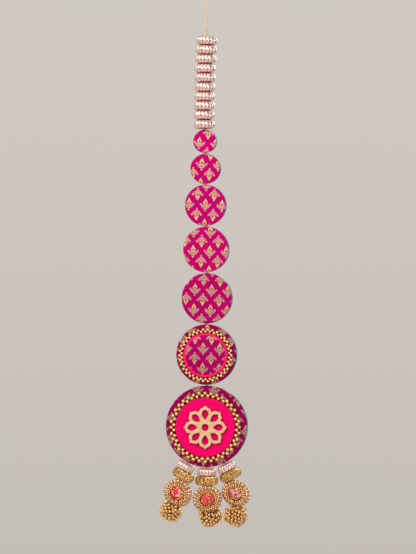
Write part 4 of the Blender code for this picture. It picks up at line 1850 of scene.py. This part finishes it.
@dataclass
class LotusOrnament:
    """An eight-petalled rosette cut out of thin board and painted pale gold."""

    node: str = "disc_7_ornament"
    body: str = "disc_7"
    petals: int = 8
    hub_hole: float = 3.4 * MM
    hub_steps: int = 40
    curve_steps: int = 5
    bevel: float = 0.18 * MM
    petal_edge: tuple[tuple[float, float], ...] = (
        (22.5, 15.4 * MM), (16.5, 17.6 * MM), (10.0, 18.6 * MM), (5.0, 19.2 * MM), (0.0, 20.6 * MM),
    )
    petal_hole: tuple[tuple[float, float], ...] = (
        (0.0, 7.4 * MM), (10.5, 9.3 * MM), (14.5, 12.0 * MM), (11.5, 14.8 * MM), (5.0, 16.1 * MM),
        (0.0, 17.2 * MM),
    )

    def polar(self, degrees: float, reach: float, turn: float) -> Vector:
        """Return a flat point from its angle off a petal's middle, its radius and the petal's turn."""
        angle = math.radians(degrees) + turn
        return Vector((reach * math.sin(angle), reach * math.cos(angle), 0.0))

    def rounded(self, half: Sequence[tuple[float, float]], turn: float) -> list[Vector]:
        """Join half a petal's line to its mirror image.

        Args:
            half: the half's angles off the petal's middle and its radii.
            turn: the petal's turn.

        Returns:
            One smooth run from end to end.
        """
        left = [self.polar(-degrees, reach, turn) for degrees, reach in half]
        right = [self.polar(degrees, reach, turn) for degrees, reach in half]
        there = smooth_line(left, self.curve_steps)
        back = smooth_line(right, self.curve_steps)
        return there + back[-2::-1]

    def loops(self) -> list[list[Vector]]:
        """Return the outline, the petals' holes and the hub's hole."""
        turns = [FULL_TURN * i / self.petals for i in range(self.petals)]
        outline = [point for turn in turns for point in self.rounded(self.petal_edge, turn)[:-1]]
        holes = [self.rounded(self.petal_hole, turn)[:-1] for turn in turns]
        hub = [
            self.polar(360.0 * i / self.hub_steps, self.hub_hole, 0.0) for i in range(self.hub_steps)
        ]
        return [outline, *holes, hub]

    def shape(self, thickness: float) -> bpy.types.Mesh:
        """Fill the loops as a flat curve, thicken it and ease its edges.

        Args:
            thickness: the board's thickness.

        Returns:
            The rosette, facing +Z.
        """
        curve = bpy.data.curves.new("rosette", "CURVE")
        curve.dimensions = "2D"
        curve.fill_mode = "BOTH"
        curve.extrude = thickness / 2 - self.bevel
        curve.bevel_depth = self.bevel
        curve.offset = -self.bevel
        curve.bevel_resolution = 1
        for loop in self.loops():
            spline = curve.splines.new("POLY")
            spline.points.add(len(loop) - 1)
            for point, spot in zip(spline.points, loop):
                point.co = (*spot, 1.0)
            spline.use_cyclic_u = True
        holder = bpy.data.objects.new("rosette", curve)
        bpy.context.scene.collection.objects.link(holder)
        bpy.context.view_layer.update()
        depsgraph = bpy.context.evaluated_depsgraph_get()
        mesh = bpy.data.meshes.new_from_object(holder.evaluated_get(depsgraph))
        bpy.data.objects.remove(holder)
        bm = bmesh.new()
        bm.from_mesh(mesh)
        bmesh.ops.remove_doubles(bm, verts=bm.verts, dist=0.002 * MM)
        bmesh.ops.recalc_face_normals(bm, faces=bm.faces)
        return as_mesh(bm)

    def build(self) -> None:
        """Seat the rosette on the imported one, with darker cut edges."""
        low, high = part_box(self.node)
        middle = (low + high) / 2
        mesh = self.shape(high.y - low.y)
        mesh.transform(Matrix.Translation(middle) @ Matrix.Rotation(math.pi / 2, 4, "X"))
        mesh.shade_smooth()
        mesh.set_sharp_from_angle(angle=math.radians(30.0))
        piece = fit(f"{self.node}_cut_out", mesh, GOLD_BOARD, self.body, [self.node])
        piece.data.materials.append(CUT_EDGE.material())
        for face in piece.data.polygons:
            face.material_index = 1 if abs(face.normal.y) < 0.5 else 0


# Drops


@dataclass
class Medallion:
    """A ring of bugle beads round a domed foil gem, edged with seed beads."""

    side: Side
    bugles: int = 44
    bugle_start: float = 128.0
    bugle_end: float = -78.0
    bugle_rows: int = 12
    bugle_tip: float = 0.55
    middle_radius: float = 10.8 * MM
    half_width: float = 2.5 * MM
    half_depth: float = 1.65 * MM
    outer_bead: float = 0.95 * MM
    inner_bead: float = 0.56 * MM
    seed_radius: float = 0.95 * MM
    seed_rows: tuple[tuple[int, float, float, float], ...] = (
        (23, 7.8 * MM, 1.9 * MM, 1.0),
        (28, 9.4 * MM, 2.5 * MM, 0.95),
    )
    gem_radius: float = 7.1 * MM
    gem_rise: float = 5.3 * MM
    gem_sink: float = 1.4 * MM
    felt_radius: float = 10.6 * MM
    felt_front: float = 0.3 * MM
    felt_back: float = -1.5 * MM
    felt_round: float = 0.5 * MM
    core_sides: int = 12
    columns: int = 72

    def bugle(self) -> bpy.types.Mesh:
        """Return one bugle bead, bent over the ring in the XZ plane from its inner to its back edge."""
        first, last = math.radians(self.bugle_start), math.radians(self.bugle_end)
        count = self.bugle_rows
        angles = [first + (last - first) * i / (count - 1) for i in range(count)]
        line = [
            Vector((
                self.middle_radius + self.half_width * math.cos(angle), 0.0,
                self.half_depth * math.sin(angle),
            ))
            for angle in angles
        ]

        def width(number: int, _: float) -> float:
            """Return the bead's radius, wider at the rim and rounded off at its ends."""
            reach = (line[number].x - line[0].x) / (self.middle_radius + self.half_width - line[0].x)
            grown = self.inner_bead + (self.outer_bead - self.inner_bead) * max(reach, 0.0)
            return grown * self.bugle_tip if number in (0, count - 1) else grown

        return as_mesh(swept_tube(line, 8, width))

    def bugle_ring(self, draw: random.Random) -> bpy.types.Mesh:
        """Wind the bugle beads round, copper and silver in turn.

        Args:
            draw: the source of chance values.

        Returns:
            All the beads, with their layer "tint".
        """
        shape = self.bugle()
        bm = bmesh.new()
        tint = bm.verts.layers.float.new("tint")
        for number in range(self.bugles):
            angle = FULL_TURN * (number + draw.uniform(-0.08, 0.08)) / self.bugles
            copper = 0.95 if number % 2 else draw.uniform(0.0, 0.3)
            for vert in stamp(bm, shape, Matrix.Rotation(angle, 4, "Z")):
                vert[tint] = copper
        return as_mesh(bm)

    def core(self) -> bpy.types.Mesh:
        """Return the padded ring that the bugle beads are wound on, dark as painted shade between them.
        """
        angles = [FULL_TURN * i / self.core_sides for i in range(self.core_sides)]
        profile = [
            (
                self.middle_radius + 0.92 * self.half_width * math.cos(angle),
                0.9 * self.half_depth * math.sin(angle),
            )
            for angle in angles
        ]
        return as_mesh(closed_ring(profile, self.columns))

    def backing(self) -> bpy.types.Mesh:
        """Return the felt round that closes the back, its edge under the bugle beads."""
        edge, front, back = self.felt_radius, self.felt_front, self.felt_back
        shoulder = edge - self.felt_round
        profile = [
            (0.0, front), (0.5 * edge, front), (shoulder, front), (edge, (front + back) / 2),
            (shoulder, back), (0.5 * edge, back), (0.0, back),
        ]
        return as_mesh(ring_of(profile, self.columns))

    def seed_rings(self, draw: random.Random) -> bpy.types.Mesh:
        """Lay the rows of seed beads round the gem.

        Args:
            draw: the source of chance values.

        Returns:
            All the beads.
        """
        lines, sizes = [], []
        for count, reach, height, size in self.seed_rows:
            line = []
            for number in range(count):
                angle = FULL_TURN * (number + draw.uniform(-0.12, 0.12)) / count
                line.append(Vector((reach * math.cos(angle), reach * math.sin(angle), height)))
                sizes.append(size * draw.uniform(0.92, 1.03))
            lines.append(line)
        return SmallBeads(self.seed_radius, steps=10).string(lines, sizes)

    def gem(self, draw: random.Random) -> bpy.types.Mesh:
        """Make the domed gem with its crushed facets, flat behind.

        Args:
            draw: the source of chance values.

        Returns:
            The gem.
        """
        bm = bmesh.new()
        bmesh.ops.create_icosphere(bm, subdivisions=4, radius=self.gem_radius)
        bmesh.ops.scale(bm, vec=(1.0, 1.0, self.gem_rise / self.gem_radius), verts=bm.verts)
        everything = bm.verts[:] + bm.edges[:] + bm.faces[:]
        bmesh.ops.bisect_plane(
            bm, geom=everything, dist=0.001 * MM, plane_co=(0, 0, -self.gem_sink), plane_no=(0, 0, 1),
            clear_inner=True,
        )
        bmesh.ops.holes_fill(bm, edges=[edge for edge in bm.edges if edge.is_boundary], sides=0)
        shift = Vector((draw.uniform(0.0, 9.0), draw.uniform(0.0, 9.0), 0.0))
        for vert in bm.verts:
            if vert.co.z > -0.9 * self.gem_sink:
                crease = noise.cell(vert.co * 700.0 + shift)
                vert.co *= 0.965 + 0.03 * crease
        bmesh.ops.recalc_face_normals(bm, faces=bm.faces)
        return as_mesh(bm)

    def build(self) -> None:
        """Seat the medallion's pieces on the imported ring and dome."""
        body = f"drop_{self.side}"
        ring, dome = f"{body}_bugle_ring", f"{body}_dome"
        seat = Seat.of(ring, FRONT).matrix()
        draw = random.Random(self.side.seed)
        pieces = (
            (f"{body}_bugle_beads", self.bugle_ring(draw), BUGLE_GLASS, [ring]),
            # The core and the felt back are dark all over, also as painted shade in the gaps between
            # the bugles.
            (f"{body}_wound_core_and_shade", self.core(), CORE_THREAD_AND_SHADE, []),
            (f"{body}_felt_back", self.backing(), CORE_THREAD_AND_SHADE, []),
            (f"{body}_seed_beads", self.seed_rings(draw), GOLD_BEAD, []),
            (f"{body}_foil_gem", self.gem(draw), GEMS[self.side], [dome]),
        )
        for name, mesh, finish, nodes in pieces:
            mesh.transform(seat)
            fit(name, mesh, finish, body, nodes)


@dataclass
class GlitterRing:
    """A thick ring coated with glitter."""

    side: Side
    radius: float = 10.85 * MM
    half_height: float = 4.3 * MM
    hole: float = 3.7 * MM
    hole_depth: float = 0.55
    shares: tuple[tuple[float, float], ...] = (
        (0.40, 0.80), (0.48, 0.93), (0.60, 0.99), (0.72, 1.0), (0.83, 0.95), (0.92, 0.80),
        (0.975, 0.56), (1.0, 0.28),
    )
    columns: int = 132
    lump: float = 0.16 * MM
    lumps_a_metre: float = 800.0

    def build(self) -> None:
        """Spin the ring and roughen its coat."""
        body = f"drop_{self.side}"
        upper = [(self.hole, self.hole_depth * self.half_height)]
        upper += [(r * self.radius, z * self.half_height) for r, z in self.shares]
        profile = upper + [(self.radius, 0.0)] + [(r, -z) for r, z in reversed(upper)]
        bm = closed_ring(profile, self.columns)
        bmesh.ops.subdivide_edges(bm, edges=bm.edges, cuts=1, use_grid_fill=True)
        shift = Vector((0.0, 0.0, self.side.seed))
        for vert in bm.verts:
            lump = noise.noise(vert.co * self.lumps_a_metre + shift)
            vert.co *= 1.0 + lump * self.lump / self.radius
        mesh = as_mesh(bm)
        node = f"{body}_gold_ring"
        mesh.transform(Seat.of(node, UP).matrix())
        fit(f"{body}_glitter_ring", mesh, GLITTER, body, [node])


@dataclass(frozen=True)
class BunchShape:
    """A bunch's radius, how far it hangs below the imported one, and where its lumps lie."""

    radius: float
    sink: float
    phase: float


@dataclass
class BeadBunch:
    """Gold beads strung on loops of thread and gathered into a bunch below a medallion."""

    side: Side
    form: BunchShape
    outer_beads: int = 124
    inner_beads: int = 30
    inner_share: float = 0.66
    azimuth_wander: float = 0.25
    smallest_reach: float = 0.84
    beads_a_loop: int = 10
    bead_radius: float = 1.45 * MM
    # The dark core ball, painted shade in the gaps between the beads: its size as a share of the reach,
    # and its offset.
    core_share: float = 0.62
    core_offset: tuple[float, float, float] = (0.0, 1.2 * MM, -1.2 * MM)
    medallion_radius: float = 13.8 * MM
    medallion_half_depth: float = 2.4 * MM
    passes: int = 140
    first_spread: float = 1.25
    lumpiness: float = 0.13
    clearance: float = 0.3 * MM
    thread_width: float = 0.35 * MM

    def start(self, draw: random.Random, reach: float) -> np.ndarray:
        """Place an outer round of beads and an inner one.

        Args:
            draw: the source of chance values.
            reach: the outer round's radius.

        Returns:
            The beads' first places, from the bunch's middle.
        """
        golden_angle = math.pi * (3.0 - math.sqrt(5.0))
        spots = []
        for count, share in ((self.outer_beads, 1.0), (self.inner_beads, self.inner_share)):
            for bead in range(count):
                level = 1.0 - 2.0 * (bead + 0.5) / count
                flat = math.sqrt(1.0 - level ** 2)
                wander = draw.uniform(-self.azimuth_wander, self.azimuth_wander)
                azimuth = golden_angle * bead + wander
                out = reach * share * draw.uniform(self.smallest_reach, 1.0)
                across, deep = flat * math.cos(azimuth), flat * math.sin(azimuth)
                spots.append((out * across, out * deep, out * level))
        return np.array(spots, float)

    def lumps(self, directions: np.ndarray) -> np.ndarray:
        """Tell how far the bunch bulges out or draws in.

        Args:
            directions: unit vectors from its middle, one a row.

        Returns:
            A number from -1 to 0.5 for each direction.
        """
        phase = self.form.phase
        first = np.sin(3.1 * directions + phase)
        second = np.cos(4.3 * np.roll(directions, 1, axis=1) + 2.0 * phase)
        return np.clip((first * second).sum(axis=1, keepdims=True) - 0.3, -1.0, 0.5)

    def strung(self, places: Sequence[Vector]) -> list[list[Vector]]:
        """Group the beads in loops, each bead next to its nearest free neighbour.

        Args:
            places: the beads' middles.

        Returns:
            Each loop's places, in order.
        """
        free = sorted(places, key=lambda place: -place.z)
        loops = []
        while free:
            loop = [free.pop(0)]
            while free and len(loop) < self.beads_a_loop:
                nearest = min(free, key=lambda place: (place - loop[-1]).length)
                free.remove(nearest)
                loop.append(nearest)
            loops.append(loop)
        return loops

    def settle(self, spots: np.ndarray, reach: float, centre: Vector, normal: Vector) -> np.ndarray:
        """Push the beads apart until none lie in each other, in the bunch and off the medallion.

        Args:
            spots: the first places, from the bunch's middle.
            reach: how far from the bunch's middle a bead's own middle may lie.
            centre: the medallion's middle, from the bunch's middle.
            normal: the medallion's axis.

        Returns:
            The places at rest.
        """
        axis, hub = np.array(normal, float), np.array(centre, float)
        clear_depth = self.medallion_half_depth + self.bead_radius + self.clearance
        clear_radius = self.medallion_radius + self.bead_radius
        for number in range(self.passes):
            spread = max(self.first_spread * (1.0 - number / self.passes), 1.0)
            apart = 2.02 * self.bead_radius * spread
            gaps = spots[:, None] - spots[None]
            far = np.linalg.norm(gaps, axis=2) + np.eye(len(spots))
            push = np.clip(apart - far, 0.0, None) / far * 0.5
            np.fill_diagonal(push, 0.0)
            spots = spots + (gaps * push[:, :, None]).sum(axis=1)
            out = np.linalg.norm(spots, axis=1, keepdims=True)
            limit = reach * (1.0 + self.lumpiness * self.lumps(spots / np.maximum(out, 1e-9)))
            spots = np.where(out > limit, spots * limit / np.maximum(out, 1e-9), spots)
            offset = spots - hub
            depth = offset @ axis
            beside = np.linalg.norm(offset - depth[:, None] * axis, axis=1)
            caught = (np.abs(depth) < clear_depth) & (beside < clear_radius)
            spots = spots - np.where(caught, depth + clear_depth, 0.0)[:, None] * axis
        return spots

    def build(self) -> None:
        """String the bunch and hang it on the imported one's place."""
        body = f"drop_{self.side}"
        node = f"{body}_bead_bunch"
        low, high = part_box(node)
        middle = (low + high) / 2 - UP * self.form.sink
        medallion = Seat.of(f"{body}_bugle_ring", FRONT)
        draw = random.Random(7 * self.side.seed)
        reach = self.form.radius - self.bead_radius
        spots = self.start(draw, reach)
        spots = self.settle(spots, reach, medallion.middle - middle, medallion.axis)
        places = [Vector(spot) + middle for spot in spots]
        lines = self.strung(places)
        beads = SmallBeads(self.bead_radius, steps=10)
        sizes = [draw.uniform(0.92, 1.0) for _ in places]
        fit(f"{node}_beads", beads.string(lines, sizes), SHADED_BUNCH_BEAD, body, [node])
        fit(f"{node}_thread", beads.thread(lines, self.thread_width), BUNCH_THREAD_AND_SHADE, body)
        # A dark core ball inside the bunch: painted shade in the gaps between the beads.
        bm = bmesh.new()
        bmesh.ops.create_icosphere(bm, subdivisions=3, radius=self.core_share * reach)
        bmesh.ops.translate(bm, verts=bm.verts, vec=middle + Vector(self.core_offset))
        fit(f"{node}_wound_core_and_shade", as_mesh(bm), BUNCH_THREAD_AND_SHADE, body)


@dataclass
class DropThread:
    """The thread that a drop hangs by, through its bead and ring and behind its medallion."""

    side: Side
    above_middle: float = 5.0675 * MM
    behind_medallion: float = 2.1 * MM
    behind_rim: float = 3.0 * MM
    rim_reach: float = 13.0 * MM
    width: float = 0.7 * MM
    spacing: float = 0.6 * MM
    curve_steps: int = 12
    sides: int = 8

    def build(self) -> None:
        """Lay the thread through the middles of the drop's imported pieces."""
        body = f"drop_{self.side}"
        bead, ring = (Seat.of(f"{body}_{part}", UP) for part in ("melon_bead", "gold_ring"))
        medallion = Seat.of(f"{body}_bugle_ring", FRONT)
        low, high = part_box(f"{body}_bead_bunch")
        bunch = (low + high) / 2
        top = bead.middle + bead.axis * self.above_middle
        back = medallion.middle - medallion.axis * self.behind_medallion
        down = bunch - medallion.middle
        down = (down - medallion.axis * down.dot(medallion.axis)).normalized()
        rim = medallion.middle + down * self.rim_reach - medallion.axis * self.behind_rim
        route = [top, bead.middle, ring.middle, back, rim, bunch]
        line = evenly(smooth_line(route, self.curve_steps), self.spacing)
        mesh = as_mesh(swept_tube(line, self.sides, lambda *_: self.width / 2))
        fit(f"{body}_thread", mesh, LINK_THREAD, body)


@dataclass
class Drop:
    """One drop: melon bead, glitter ring, medallion and bunch."""

    side: Side
    bunch: BunchShape
    bead_radius: float = 9.2 * MM
    bead_half_height: float = 4.1 * MM
    bead_bore: float = 2.1 * MM
    bead_slip: float = -0.28 * MM
    spin_step: float = 0.1

    def build(self) -> None:
        """Make the drop's pieces from the top down."""
        node = f"drop_{self.side}_melon_bead"
        bead = MelonBead(
            self.bead_radius, self.bead_half_height, self.bead_bore, slip=self.bead_slip,
        )
        bead.build(f"{node}_fluted", node, f"drop_{self.side}", self.spin_step * self.side.seed)
        GlitterRing(self.side).build()
        Medallion(self.side).build()
        BeadBunch(self.side, self.bunch).build()
        DropThread(self.side).build()


@dataclass
class Hanging:
    """The whole hanging."""

    cuts: tuple[Cut, ...] = (
        Cut(-5.2 * MM, -2.0 * MM, 5.0),
        Cut(-3.8 * MM, 4.3 * MM, 4.0),
        Cut(-0.1 * MM, 0.4 * MM, 3.4),
        Cut(3.5 * MM, -2.0 * MM, 2.0),
        Cut(3.9 * MM, 7.9 * MM, 3.5),
        Cut(0.0, 23.6 * MM, 1.8),
        Cut(-9.7 * MM, 35.0 * MM, 2.0),
    )
    # Painted shade for each disc's brocade: darker towards the bottom, darkest on discs 6 and 7.
    painted_shades: tuple[float, ...] = (0.98, 0.94, 0.91, 0.91, 0.78, 0.50, 0.48)
    first_link: float = 0.68 * MM
    other_links: float = 1.35 * MM
    bunches: tuple[tuple[Side, BunchShape], ...] = (
        (Side.LEFT, BunchShape(11.3 * MM, sink=0.9 * MM, phase=4.0)),
        (Side.MIDDLE, BunchShape(11.3 * MM, sink=0.3 * MM, phase=6.0)),
        (Side.RIGHT, BunchShape(12.0 * MM, sink=1.7 * MM, phase=3.5)),
    )

    def build(self) -> None:
        """Make each sub-assembly in order, from the top down."""
        BeadString().build()
        for number, (cut, shade) in enumerate(zip(self.cuts, self.painted_shades), start=1):
            CoveredDisc(number, cut, shade).build()
            parent = f"disc_{number - 1}_brocade" if number > 1 else "melon_bead_10"
            half_length = self.other_links if number > 1 else self.first_link
            ThreadLink(parent, f"disc_{number}_brocade", f"disc_{number}", half_length).build()
        RaisedPad().build()
        SewnRing("disc_6_bead_ring", "disc_6", 34, bead_radius=1.42 * MM, zigzag=1.9 * MM).build()
        PinkBoard().build()
        SewnRing("disc_7_bead_ring", "disc_7", 36, bead_radius=1.72 * MM, zigzag=2.45 * MM).build()
        LotusOrnament().build()
        for side, bunch in self.bunches:
            Drop(side, bunch).build()


def main() -> None:
    """Set the studio, lay the cord and dress the hanging."""
    logging.basicConfig(level=logging.INFO, format="%(message)s")
    Studio().build()
    HangingCord().build()
    Hanging().build()


if __name__ == "__main__":
    main()
